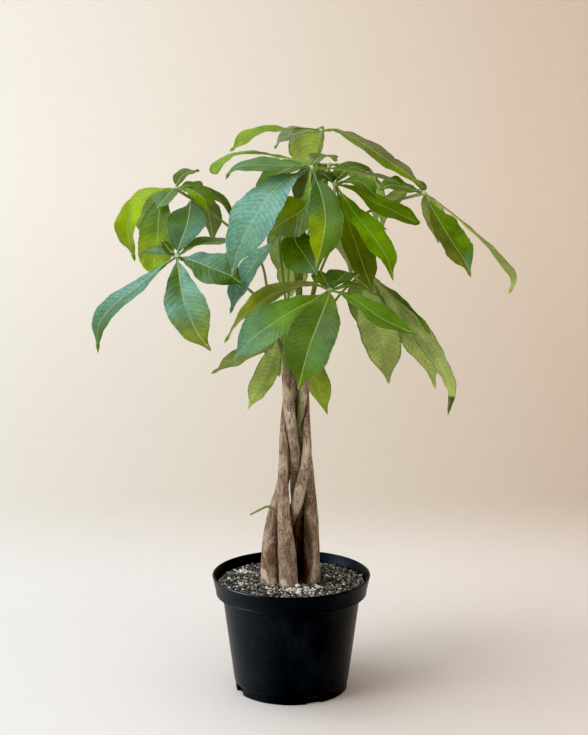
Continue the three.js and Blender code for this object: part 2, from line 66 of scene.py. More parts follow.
STEMS = {
    "stem_left": [
        (-23, -4, 55, 10.5), (-22.5, -4, 116, 10.3), (-22.5, -3, 154, 8.4), (-18.5, -1, 185, 7.4),
        (-10, 4, 216, 6.4), (-5, 6, 242, 6), (0, 7, 263, 5.6), (3, 6, 287, 5.2), (4, 5, 317, 4.8),
        (5, 6, 347, 4.4), (7, 5, 382, 4), (8, 3, 417, 3.5), (8, 2, 449, 2.8),
    ],
    "stem_front": [
        (-3.5, -14, 55, 10.6), (-3, -14, 116, 9.8), (-5, -13, 154, 9.2), (-7.4, -12, 185, 7.3),
        (-8.3, -11, 216, 5.8), (-7.6, -10, 252, 5), (-6.8, -5, 282, 4.6), (-4.5, 3, 308, 4.4),
        (-2, 10, 332, 4), (-1.5, 15, 359, 3.6), (-2, 18, 391, 2.9),
    ],
    "stem_back_right": [
        (9, 17, 55, 10.4), (9, 17, 116, 9.6), (9, 13, 154, 8.2), (8, 11, 185, 7.2), (5.5, 7, 212, 6.4),
        (4.5, -1, 235, 5.9), (2.5, -7, 261, 5.8), (0, -9, 285, 5.7), (-2.4, -9, 307, 5.6),
        (-4.5, -8, 330, 4.9), (-6.2, -6, 349, 4), (-7.5, -6, 369, 3),
    ],
    "stem_back_left": [
        (-11, 15, 55, 10), (-12, 14, 116, 9.4), (-9, 12, 147, 8.2), (-2.5, 6, 179, 7), (4.5, -5, 197, 6.2),
        (9, -11, 216, 5.9), (14.2, -12, 240, 5.3), (16.4, -8, 263, 4.6), (15.4, -2, 285, 4.3),
        (14.6, 4, 308, 4.1), (14.5, 10, 337, 3.8), (16.5, 14, 372, 3.4), (19, 16, 406, 2.8),
    ],
    "stem_right": [
        (21.5, 0, 55, 10.8), (21.2, 0, 116, 10), (20.8, 0, 154, 8.8), (20.6, 0, 185, 7.5),
        (19, 1, 216, 5.8), (17, 3, 243, 5), (13, 5, 263, 4.6), (9.3, 2, 280, 4.4), (10, -3, 300, 4.4),
        (12.3, -5, 319, 4.3), (15, -9, 344, 3.9), (17, -11, 375, 3.5), (17.5, -9, 407, 2.8),
    ],
}

SIDE_SHOOT = [(-13, -8, 186), (-17, -15, 196), (-24, -18, 201.5), (-33, -19, 198), (-42.5, -19, 193)]

# Leaves: points of the petiole, place of the hub, and leaflets. A leaflet is its tone, its width, the
# way its face looks, and points of its midrib measured from the hub. A tone may change between the right
# and left half (+) and from base to tip (>); these changes are partly painted light and shade.

LEAVES = {
    "leaf_left_front": (
        [(-7, -6, 359), (-13, -10, 375), (-23, -18, 397), (-37, -27, 425), (-60, -41, 443), (-88, -57, 458)],
        (-112, -70, 471),
        [
            ("deep", 29, (0, -0.3, 1), (-16, -12, -10), (-38, -20, -27), (-59, -26, -43), (-75, -28, -63),
             (-77, -26, -92)),
            ("full>olive+deep>olive", 40, (0, -0.3, 1), (2, -16, -9), (8, -40, -36), (15, -50, -52),
             (23, -57, -67), (35, -61, -82)),
            ("deep", 42, (-0.1, -0.7, 1), (19, -10, -4), (36, -16, -10), (53, -20, -16), (65, -22, -25)),
            ("fresh", 34, (0, -0.2, 1), (13, 4, -10), (24, 10, -20), (34, 16, -30)),
            ("full", 30, (0, 0, 1), (13, 12, 7), (30, 20, 10), (45, 24, 10), (61, 26, 4)),
            ("deep", 40, (0, 0, 1), (3, 12, 11), (8, 25, 24), (11, 36, 38), (12, 44, 49)),
            ("full", 28, (0, -0.15, 1), (-16, 4, 3), (-29, 10, 3), (-38, 16, -3)),
            ("full", 11, (-0.4, -0.6, 1), (-8, 1, 7), (-15, 4, 16)),
        ],
    ),
    "leaf_left_back": (
        [(-4, 10, 338), (-11, 12, 362), (-19, 14, 393), (-25, 13, 426), (-30, 12, 449), (-45, 11, 471),
         (-67, 12, 491), (-92, 14, 510)],
        (-117, 15, 526),
        [
            ("young", 38, (-0.6, -0.5, 1), (-19, -7, -1), (-36, -13, -11), (-46, -17, -26), (-47, -20, -45),
             (-41, -21, -71)),
            ("fresh>young", 40, (0, -0.4, 1), (-9, -11, -3), (-14, -21, -12), (-16, -31, -30),
             (-17, -36, -49), (-23, -39, -80)),
            ("full", 24, (0, 0, 1), (-6, -17, -3), (-17, -35, -16)),
            ("full+bright", 31, (0, -0.1, 1), (15, -13, 1), (28, -23, -6), (34, -29, -20)),
            ("deep>full", 31, (0.3, -0.35, 1), (19, 8, 0), (35, 14, -7), (48, 18, -19), (56, 20, -35),
             (58, 20, -56)),
            ("full", 24, (-0.3, -0.25, 1), (4, 11, 9), (11, 21, 14), (23, 31, 15)),
            ("full", 22, (0, -0.2, 1), (14, 1, 3), (31, -1, 1)),
            ("full", 36, (0, 0.3, 1), (-14, 22, -5), (-25, 44, -20), (-30, 58, -44), (-30, 64, -70)),
            ("deep", 34, (0.2, 0.3, 1), (10, 26, -4), (22, 52, -16), (31, 70, -38), (35, 78, -70)),
        ],
    ),
    "leaf_top": (
        [(8, 2, 444), (12, 8, 475), (20, 15, 517), (27, 19, 557)],
        (30, 20, 584),
        [
            ("full>bright", 32, (0, -0.18, 1), (-12, -8, 3), (-34, -20, 4), (-59, -29, 3), (-76, -34, -5),
             (-86, -37, -12), (-91, -38, -16)),
            ("grey", 36, (0, -0.7, 1), (-19, 14, -3), (-34, 24, -8), (-43, 29, -15), (-47, 31, -21)),
            ("fresh>young", 40, (0, 0, 1), (-4, 14, 0), (-10, 26, -4), (-13, 33, -15), (-12, 36, -28),
             (-7, 37, -44)),
            ("grey+olive>young", 26, (0, -0.4, 1), (12, -4, 2), (30, -10, -5), (48, -17, -15), (65, -21, -26),
             (87, -24, -41), (104, -25, -55)),
            ("full", 28, (0, 0, 1), (14, 10, 0), (36, 22, -9), (56, 30, -22), (70, 34, -34)),
        ],
    ),
    "leaf_upper_front": (
        [(8, 3, 424), (4, -7, 444), (6, -18, 478), (12, -30, 520), (18, -37, 544)],
        (20, -40, 554),
        [
            ("full", 33, (0, -0.36, 1), (-15, -10, 4), (-32, -16, 4), (-57, -20, 5), (-73, -22, 3),
             (-81, -22, -3), (-84, -22, -9)),
            ("full", 50, (-0.2, -0.6, 1), (-21, -22, -7), (-37, -38, -17), (-50, -50, -34), (-62, -59, -53),
             (-73, -64, -78), (-77, -66, -98)),
            ("bright>young", 44, (0, -0.5, 1), (-2, -14, -14), (-3, -27, -31), (-13, -32, -40),
             (-28, -34, -49), (-43, -34, -62)),
            ("deep>full+deep>young", 35, (0, -0.3, 1), (9, -26, -21), (13, -42, -39), (12, -52, -58),
             (4, -58, -90)),
            ("deep", 30, (0.1, 0.2, 1), (23, -6, 0), (42, -10, -2), (60, -12, -6), (98, -12, -17)),
            ("olive", 28, (0, 0, 1), (7, 16, 8), (17, 31, 8), (26, 40, 2)),
            ("fresh>bright", 33, (0, 0.15, 1), (-14, 22, 5), (-49, 32, 10), (-74, 37, 9), (-86, 34, 4),
             (-93, 28, -3), (-95, 24, -9)),
        ],
    ),
    "leaf_upper_right": (
        [(17.5, -9, 401), (23, -9, 432), (34, -10, 482), (42, -10, 517)],
        (44, -10, 534),
        [
            ("fresh>bright", 32, (0.3, -0.6, 1), (19, -24, -26), (40, -38, -51), (51, -44, -69),
             (57, -47, -90)),
            ("bright>fresh", 31, (0.1, -0.5, 1), (17, -5, -3), (35, -8, -15), (55, -10, -24), (70, -10, -32),
             (85, -8, -38)),
            ("olive", 40, (0.2, -0.5, 1), (6, -2, -19), (13, 2, -39), (25, 4, -73), (39, 4, -112)),
            ("deep", 24, (0, 0, 1), (-8, 10, 6), (-16, 22, 11)),
            ("full", 30, (0, 0, 1), (6, 14, 7), (15, 26, 13), (28, 34, 12), (42, 36, 3)),
            ("full", 24, (0, -0.3, 1), (17, -8, 5), (30, -16, 1), (42, -20, -13)),
        ],
    ),
    "leaf_right": (
        [(20, 16, 400), (26, 18, 429), (42, 18, 467), (66, 14, 495), (98, 3, 513)],
        (133, -10, 525),
        [
            ("full", 28, (0, -0.4, 1), (-19, -4, 6), (-34, -8, 9), (-46, -12, 5)),
            ("full", 22, (0.7, -0.3, 1), (-3, 12, 5), (-8, 24, 10), (-13, 34, 12)),
            ("fresh+olive", 38, (0.3, -0.6, 1), (13, -14, -23), (28, -24, -47), (40, -28, -65),
             (46, -30, -80)),
            ("olive>young", 26, (0.7, 0.45, 1), (30, 4, -22), (59, 8, -48), (78, 10, -70), (92, 10, -90),
             (88, 8, -104)),
            ("olive", 24, (0, 0, 1), (5, 20, -8), (11, 38, -24), (16, 50, -44), (19, 54, -60)),
            ("full", 30, (0, 0, 1), (-11, 22, 0), (-24, 44, -8), (-35, 58, -26), (-40, 62, -46)),
        ],
    ),
    "leaf_center": (
        [(-7, -6, 364), (-4, -18, 384), (-6, -34, 424), (-10, -50, 465)],
        (-12, -60, 493),
        [
            ("full", 34, (-0.5, -0.5, 1), (-9, -4, -12), (-26, -12, -32), (-38, -16, -50), (-48, -18, -78)),
            ("full", 42, (-0.3, -1, 0.4), (13, -4, 1), (17, -8, -9), (26, -11, -22), (38, -12, -41)),
            ("full", 30, (0, 0, 1), (-9, 14, 8), (-21, 30, 12), (-33, 42, 6)),
            ("full", 26, (0, 0, 1), (11, 16, 8), (21, 32, 10)),
        ],
    ),
    "leaf_lower_front": (
        [(16, -10, 359), (18, -20, 379), (24, -42, 409), (33, -68, 430)],
        (38, -80, 439),
        [
            ("full>fresh+full", 50, (0, -0.3, 1), (-2, -18, -4), (-11, -42, -23), (-19, -54, -41),
             (-26, -57, -65), (-31, -58, -87)),
            ("fresh", 42, (0, -0.9, 1), (-18, -10, -9), (-37, -16, -18), (-63, -21, -34), (-78, -23, -46),
             (-95, -24, -66)),
            ("olive>young", 38, (-0.1, -0.4, 1), (-17, 6, 5), (-48, 14, -4), (-69, 20, -16), (-88, 24, -33),
             (-105, 28, -59)),
            ("full", 34, (0, 0, 1), (8, 18, 6), (18, 34, 11), (29, 44, 3)),
            ("full", 28, (0, 0, 1), (-4, 22, 6), (-10, 42, 12)),
            ("full>olive", 26, (0, -0.2, 1), (18, 2, 4), (32, 8, 0), (47, 12, -8)),
            ("full>fresh", 34, (0.2, -0.35, 1), (15, -8, -3), (29, -18, -10), (51, -26, -24), (85, -30, -39)),
        ],
    ),
    "leaf_right_back": (
        [(18, 10, 342), (24, 12, 369), (36, 12, 396), (50, 13, 418), (65, 17, 432)],
        (77, 20, 440),
        [
            ("olive", 42, (0.2, 1, 0.3), (3, 8, -24), (8, 16, -52), (20, 22, -89), (25, 22, -123)),
            ("olive", 38, (0.8, 0.9, 0.2), (24, 8, -29), (45, 10, -67), (64, 8, -96), (73, 6, -125)),
            ("olive", 36, (0.9, 0.5, 0.3), (18, -6, -16), (41, -12, -44), (63, -16, -73), (79, -20, -102),
             (86, -22, -127), (84, -22, -146)),
            ("full", 28, (0.7, 0, 1), (11, -14, -7), (31, -22, -26), (51, -27, -44), (65, -29, -61)),
            ("full", 38, (0, 0.3, 1), (0, 26, -8), (0, 52, -26), (0, 68, -54), (0, 74, -84)),
            ("deep", 36, (0.3, 0.2, 1), (15, 18, -20), (30, 34, -47), (41, 42, -72), (45, 42, -92)),
        ],
    ),
    "leaf_lower_back": (
        [(-2, 14, 350), (-4, 22, 364)],
        (-7, 30, 379),
        [
            ("fresh", 32, (-0.3, 0.7, 1), (-16, -3, -17), (-48, -10, -30), (-76, -14, -45)),
            ("fresh", 28, (-0.4, 1, 0.2), (-8, 4, -18), (-17, 8, -47), (-39, 10, -89)),
            ("young", 29, (0.3, 1, 0.2), (15, 2, -23), (32, 4, -56), (45, 4, -93)),
            ("full", 34, (0, 0.3, 1), (-2, 24, -4), (-4, 46, -18), (-6, 60, -42), (-6, 64, -66)),
            ("full", 32, (0.3, 0.3, 1), (14, 24, -8), (26, 42, -28), (32, 50, -54), (34, 52, -76)),
        ],
    ),
    "leaf_back_low": (
        [(-2.5, 18, 385), (-3, 30, 417), (-3, 52, 455)],
        (-1, 70, 484),
        [
            ("fresh", 33, (0, 1, 0.2), (1, 2, -25), (2, 2, -51), (1, -2, -79)),
            ("fresh", 32, (-0.5, 0.6, 0.6), (-23, -8, -8), (-44, -16, -20), (-57, -22, -38)),
            ("full", 34, (0, 0, 1), (33, 4, 10), (68, 4, 6), (101, -2, -8)),
            ("full", 32, (0, 0.5, 1), (-4, 26, -2), (-8, 52, -18), (-10, 70, -46), (-10, 78, -76)),
            ("deep", 36, (-0.3, 0.3, 1), (-22, 18, -4), (-44, 36, -18), (-60, 46, -42), (-66, 48, -68)),
            ("full", 38, (0.3, 0.3, 1), (22, 22, -4), (44, 44, -18), (60, 56, -42), (66, 60, -70)),
        ],
    ),
    "leaf_back_high": (
        [(8, 3, 410), (11, 14, 438), (18, 36, 480), (31, 66, 522)],
        (40, 84, 542),
        [
            ("full", 34, (-0.2, -0.6, 1), (-22, 6, 0), (-46, 10, -7), (-64, 14, -18), (-75, 16, -32),
             (-76, 16, -46)),
            ("full", 38, (0, 0.3, 1), (-8, 24, -4), (-16, 48, -18), (-20, 64, -44), (-20, 70, -74)),
            ("deep", 36, (0.2, 0.3, 1), (16, 22, -4), (34, 42, -18), (48, 52, -44), (52, 56, -72)),
            ("full", 30, (0.2, 0, 1), (20, -4, 0), (40, -6, -6), (54, -8, -20)),
        ],
    ),
}


# Curves and meshes


def unit(vectors):
    """Vectors along the last axis, each one unit long."""
    return vectors / np.maximum(np.linalg.norm(vectors, axis=-1, keepdims=True), 1e-9)


def smooth_step(value, low, high):
    """0 below low, 1 above high, and smooth between them."""
    way = np.clip((value - low) / (high - low), 0, 1)
    return way * way * (3 - 2 * way)


class Course:
    """A smooth centripetal curve through points, read by the share of its length."""

    FINE_STEPS = 400
    NUDGE = 1e-4

    def __init__(self, points):
        knots = np.array(points, float)
        first = 2 * knots[0] - knots[1]
        last = 2 * knots[-1] - knots[-2]
        self.knots = np.vstack([first, knots, last])
        self.spans = len(points) - 1
        self.ways = np.linspace(0, 1, self.FINE_STEPS + 1)
        steps = np.linalg.norm(np.diff(self.at_way(self.ways), axis=0), axis=1)
        reach = np.concatenate([[0], np.cumsum(steps)])
        self.length = reach[-1]
        self.shares = reach / self.length

    def at_way(self, way):
        """Points where a share of the knots is passed."""
        span = np.minimum((way * self.spans).astype(int), self.spans - 1)
        rest = (way * self.spans - span)[:, None]
        before, start, end, after = (self.knots[span + step] for step in range(4))
        gap_in = np.linalg.norm(start - before, axis=1)[:, None] ** 0.5
        gap = np.linalg.norm(end - start, axis=1)[:, None] ** 0.5
        gap_out = np.linalg.norm(after - end, axis=1)[:, None] ** 0.5
        leaving = (start - before) / gap_in - (end - before) / (gap_in + gap) + (end - start) / gap
        arriving = (end - start) / gap - (after - start) / (gap + gap_out) + (after - end) / gap_out
        leaving, arriving = leaving * gap, arriving * gap
        square = 3 * (end - start) - 2 * leaving - arriving
        cube = 2 * (start - end) + leaving + arriving
        return start + leaving * rest + square * rest**2 + cube * rest**3

    def way_at(self, share):
        """The share of the knots passed at a share of the length."""
        return np.interp(share, self.shares, self.ways)

    def frames(self, count, first_normal):
        """Shares, middles, normals and sides along the curve, carried without twisting."""
        shares = np.linspace(0, 1, count)
        ways = self.way_at(shares)
        ahead = self.at_way(np.minimum(ways + self.NUDGE, 1))
        behind = self.at_way(np.maximum(ways - self.NUDGE, 0))
        along = unit(ahead - behind)
        normals = np.empty_like(along)
        normal = np.array(first_normal, float)
        for step, heading in enumerate(along):
            normal = normal - normal.dot(heading) * heading
            normal = normal / np.linalg.norm(normal)
            normals[step] = normal
        return shares, self.at_way(ways), normals, np.cross(along, normals)


def looked_up(at, shares, values):
    """Rows of values read between the shares, for an array of shares of any shape."""
    return np.stack([np.interp(at, shares, values[:, axis]) for axis in range(values.shape[1])], axis=-1)


def ring_faces(rings, count, start=0):
    """Faces of a closed skin over rings of points, with both ends shut."""
    faces = []
    for ring in range(rings - 1):
        low = start + ring * count
        high = low + count
        for column in range(count):
            after = (column + 1) % count
            faces.append((low + column, low + after, high + after, high + column))
    faces.append(tuple(start + column for column in range(count - 1, -1, -1)))
    top = start + (rings - 1) * count
    faces.append(tuple(top + column for column in range(count)))
    return faces


class Build:
    """Collects points, faces and values of one piece, in millimetres."""

    def __init__(self):
        self.points = []
        self.faces = []
        self.materials = []
        self.values = {}
        self.total = 0

    def add(self, points, faces, material=0, **values):
        """Adds a shell. Faces count from its own first point; values hold one row for each point."""
        points = np.asarray(points, float).reshape(-1, 3)
        self.points.append(points)
        self.faces.extend(tuple(corner + self.total for corner in face) for face in faces)
        self.materials.extend([material] * len(faces))
        for name, rows in values.items():
            rows = np.asarray(rows, float)
            if rows.ndim == 1:
                rows = np.tile(rows, (len(points), 1))
            self.values.setdefault(name, []).append(rows)
        self.total += len(points)

    def piece(self, name, materials, nodes, sharp_angle=None):
        """Makes the object, which rides on the body and replaces its nodes."""
        mesh = bpy.data.meshes.new(name)
        mesh.from_pydata((np.vstack(self.points) * MM).tolist(), [], self.faces)
        mesh.polygons.foreach_set("material_index", self.materials)
        for value_name, rows in self.values.items():
            rows = np.vstack(rows)
            kind, key = ("FLOAT_COLOR", "color") if rows.shape[1] == 4 else ("FLOAT_VECTOR", "vector")
            layer = mesh.attributes.new(value_name, kind, "POINT")
            layer.data.foreach_set(key, rows.astype(np.float32).ravel())
        for material in materials:
            mesh.materials.append(material)
        mesh.shade_smooth()
        if sharp_angle is not None:
            mesh.set_sharp_from_angle(angle=math.radians(sharp_angle))
        mesh.update()
        made = bpy.data.objects.new(name, mesh)
        bpy.context.scene.collection.objects.link(made)
        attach(made, BODY)
        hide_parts(*nodes)
        return made


def tube_rings(course, radius_at, sides, step, swell=None):
    """Rings of points of a round tube, with each point's angle and share."""
    rings = max(3, round(course.length / step) + 1)
    start = course.at_way(np.array([0.0, Course.NUDGE]))
    across = (0, 1, 0) if abs(unit(start[1] - start[0])[0]) > 0.9 else (1, 0, 0)
    shares, middles, normals, side_ways = course.frames(rings, across)
    angles = np.linspace(0, 2 * math.pi, sides, endpoint=False)
    radii = radius_at(shares)[:, None] * np.ones(sides)
    if swell is not None:
        radii = radii * swell(angles[None, :], shares[:, None])
    outward = (
        normals[:, None, :] * np.cos(angles)[None, :, None]
        + side_ways[:, None, :] * np.sin(angles)[None, :, None]
    )
    return middles[:, None, :] + outward * radii[..., None], angles, shares, radii


# Materials


def put(tree, kind, inputs=None, **settings):
    """Adds a node. An input is a value, or the output that feeds it."""
    node = tree.nodes.new(kind)
    for name, value in settings.items():
        setattr(node, name, value)
    for name, value in (inputs or {}).items():
        socket = node.inputs[name]
        if isinstance(value, bpy.types.NodeSocket):
            tree.links.new(value, socket)
        else:
            socket.default_value = value
    return node


def maths(tree, operation, *values, clamp=False):
    """The output of a Math node."""
    node = put(tree, "ShaderNodeMath", dict(enumerate(values)), operation=operation, use_clamp=clamp)
    return node.outputs[0]


def grey_of(tree, value):
    """A grey of one value."""
    return put(tree, "ShaderNodeCombineColor", {0: value, 1: value, 2: value}).outputs[0]


def ramp(tree, value, low, high, start=0.0, end=1.0):
    """A smooth rise from start to end while value goes from low to high."""
    node = put(
        tree, "ShaderNodeMapRange", {0: value, 1: low, 2: high, 3: start, 4: end},
        interpolation_type="SMOOTHSTEP",
    )
    return node.outputs[0]


def blended(tree, share, first, second, mode="MIX"):
    """The colour of a Mix node."""
    node = put(tree, "ShaderNodeMix", {0: share, 6: first, 7: second}, data_type="RGBA", blend_type=mode)
    return node.outputs[2]


def noise(tree, vector, scale, detail=3.0, roughness=0.55, distortion=0.0):
    """The grey value of a Noise texture."""
    node = put(
        tree, "ShaderNodeTexNoise",
        {"Vector": vector, "Scale": scale, "Detail": detail, "Roughness": roughness,
         "Distortion": distortion},
    )
    return node.outputs[0]


def stretched(tree, vector, scale):
    """Coordinates scaled by three numbers."""
    return put(tree, "ShaderNodeMapping", {"Vector": vector, "Scale": scale}).outputs[0]


def bumped(tree, height, distance, strength=1.0, before=None):
    """A normal bent by a height."""
    inputs = {"Height": height, "Distance": distance, "Strength": strength}
    if before is not None:
        inputs["Normal"] = before
    return put(tree, "ShaderNodeBump", inputs).outputs[0]


def new_material(name, slot_color):
    """A material with an empty node tree, a Principled shader and its output."""
    material = bpy.data.materials.new(name)
    material.use_nodes = True
    material.diffuse_color = (*slot_color, 1)
    tree = material.node_tree
    tree.nodes.clear()
    shader = put(tree, "ShaderNodeBsdfPrincipled")
    output = put(tree, "ShaderNodeOutputMaterial", {"Surface": shader.outputs[0]})
    return material, tree, shader, output


def set_inputs(tree, shader, **inputs):
    """Sets or links a shader's inputs, with underscores for the spaces in their names."""
    for name, value in inputs.items():
        socket = shader.inputs[name.replace("_", " ")]
        if isinstance(value, bpy.types.NodeSocket):
            tree.links.new(value, socket)
        else:
            socket.default_value = value


def rgba(color):
    """A colour with an alpha of 1."""
    return (*color, 1.0)


# Settings


def color_setting(name, description, default):
    """A colour property."""
    return FloatVectorProperty(
        name=name, description=description, subtype="COLOR", size=3, min=0, max=1, default=default
    )


def length_setting(name, description, default):
    """A length property, in metres."""
    return FloatProperty(
        name=name, description=description, subtype="DISTANCE", unit="LENGTH", min=0, default=default
    )


class PotSettings(bpy.types.PropertyGroup):
    """Sizes and colours of the pot"""

    rim_radius: length_setting("Rim radius", "Outer radius of the rim", 0.0825)
    rim_depth: length_setting("Rim depth", "Height of the rim band", 0.0205)
    body_radius: length_setting("Body radius", "Outer radius under the rim", 0.0719)
    foot_radius: length_setting("Foot radius", "Outer radius of the foot", 0.0586)
    height: length_setting("Height", "Height of the pot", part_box("pot")[1][2])
    plastic: color_setting("Plastic", "Colour of the moulded plastic", (0.0010, 0.0022, 0.0042))
    dust: color_setting("Dust", "Colour of the dust and scuffs", (0.010, 0.015, 0.022))


class SoilSettings(bpy.types.PropertyGroup):
    """Sizes and colours of the potting mix"""

    grit_spacing: length_setting("Grit spacing", "Distance between grains", 0.00168)
    grit_size: length_setting("Grit size", "Usual radius of a grain", 0.00098)
    perlite_size: length_setting("Perlite size", "Usual radius of a white grain", 0.00118)
    seed: IntProperty(name="Seed", description="Start of the random draws", min=0, default=11)
    humus: color_setting("Humus", "Colour of the mix below", (0.013, 0.011, 0.010))
    grit: color_setting("Grit", "Colour of the dark grains", (0.026, 0.026, 0.027))
    pumice: color_setting("Pumice", "Colour of the grey grains", (0.40, 0.385, 0.365))
    perlite: color_setting("Perlite", "Colour of the white grains", (0.86, 0.855, 0.84))


class StemSettings(bpy.types.PropertyGroup):
    """Sizes and colours of the stems"""

    sides: IntProperty(name="Sides", description="Points round a stem", min=8, default=36)
    seed: IntProperty(name="Seed", description="Start of the random draws", min=0, default=3)
    bark: color_setting("Bark", "Main colour of the bark", (0.190, 0.121, 0.075))
    bark_pale: color_setting("Pale bark", "Colour of the dry outer skin", (0.57, 0.465, 0.375))
    # The dark bark colour serves for cracks and also as painted shade between the stems and on the back
    # stems.
    bark_dark: color_setting("Dark bark", "Colour of cracks and damp bark", (0.034, 0.021, 0.013))
    green_wood: color_setting("Green wood", "Colour of the young upper stem", (0.10, 0.155, 0.030))


class LeafSettings(bpy.types.PropertyGroup):
    """Sizes and colours of the leaves"""

    vein_pitch: length_setting("Vein pitch", "Distance between side veins at the midrib", 0.0056)
    pleat: length_setting("Pleat", "Depth of the furrow over a side vein", 0.00022)
    thickness: length_setting("Thickness", "Thickness of a blade", 0.0005)
    seed: IntProperty(name="Seed", description="Start of the random draws", min=0, default=5)
    # Young green stands for soft young blades and is also painted light on blades that light shines through.
    young: color_setting("Young green", "Blades still soft and yellow", (0.215, 0.315, 0.004))
    # Bright green is painted light: a lighter green in place of light falling through blades and on blades in
    # shade.
    bright: color_setting("Bright green", "Blades that light falls through", (0.170, 0.310, 0.008))
    # Fresh green is painted light: a lighter green for blades that face the light.
    fresh: color_setting("Fresh green", "Blades that face the light", (0.108, 0.228, 0.010))
    full: color_setting("Full green", "Most grown blades", (0.088, 0.178, 0.016))
    # Deep green stands for old blades and is also painted shade on blades that lie behind others.
    deep: color_setting("Deep green", "Old dark blades", (0.055, 0.122, 0.012))
    olive: color_setting("Olive green", "Dull blades", (0.140, 0.195, 0.030))
    # Grey green is a painted sheen: the grey of light glancing off two blades at the top.
    grey: color_setting("Grey green", "Grey-green of two blades at the top", (0.200, 0.205, 0.095))
    # Painted reflection: blue-green in place of cool light reflected off some blades.
    painted_reflection: color_setting(
        "Painted reflection", "Blue-green painted on some blades in place of reflected light", (0.19, 0.43, 0.39)
    )
    underside: color_setting("Underside", "Paler green below", (0.400, 0.500, 0.185))
    rib: color_setting("Midrib", "Colour of midribs and hubs", (0.42, 0.52, 0.24))
    petiole: color_setting("Petiole", "Colour of the long stalks", (0.16, 0.24, 0.045))
    petiole_foot: color_setting("Petiole foot", "Colour near the stem", (0.10, 0.075, 0.035))


class StageSettings(bpy.types.PropertyGroup):
    """Camera, floor and light"""

    lens: FloatProperty(name="Lens", description="Focal length in millimetres", min=1, default=107.76)
    camera_height: length_setting("Camera height", "Height over the floor", 0.824)
    camera_distance: length_setting("Camera distance", "Distance in front of the pot", 2.201)
    camera_offset: length_setting("Camera offset", "Distance to the right of the pot", 0.0028)
    pitch: FloatProperty(
        name="Pitch", description="Angle below the horizon", subtype="ANGLE", default=math.radians(12.3)
    )
    # The paper's colours are painted light: the backdrop darker and warmer to the right, where less light
    # falls, and the floor lighter and warmer to the right, making up for light that falls off there.
    paper: color_setting("Paper", "Colour of the backdrop to the left", (0.712, 0.710, 0.680))
    paper_right: color_setting("Paper, right", "Colour of the backdrop to the right", (0.600, 0.487, 0.398))
    paper_floor: color_setting("Floor", "Colour of the floor to the left", (0.755, 0.777, 0.822))
    paper_floor_right: color_setting(
        "Floor, right", "Colour of the floor to the right", (0.885, 0.815, 0.790)
    )


# Pot


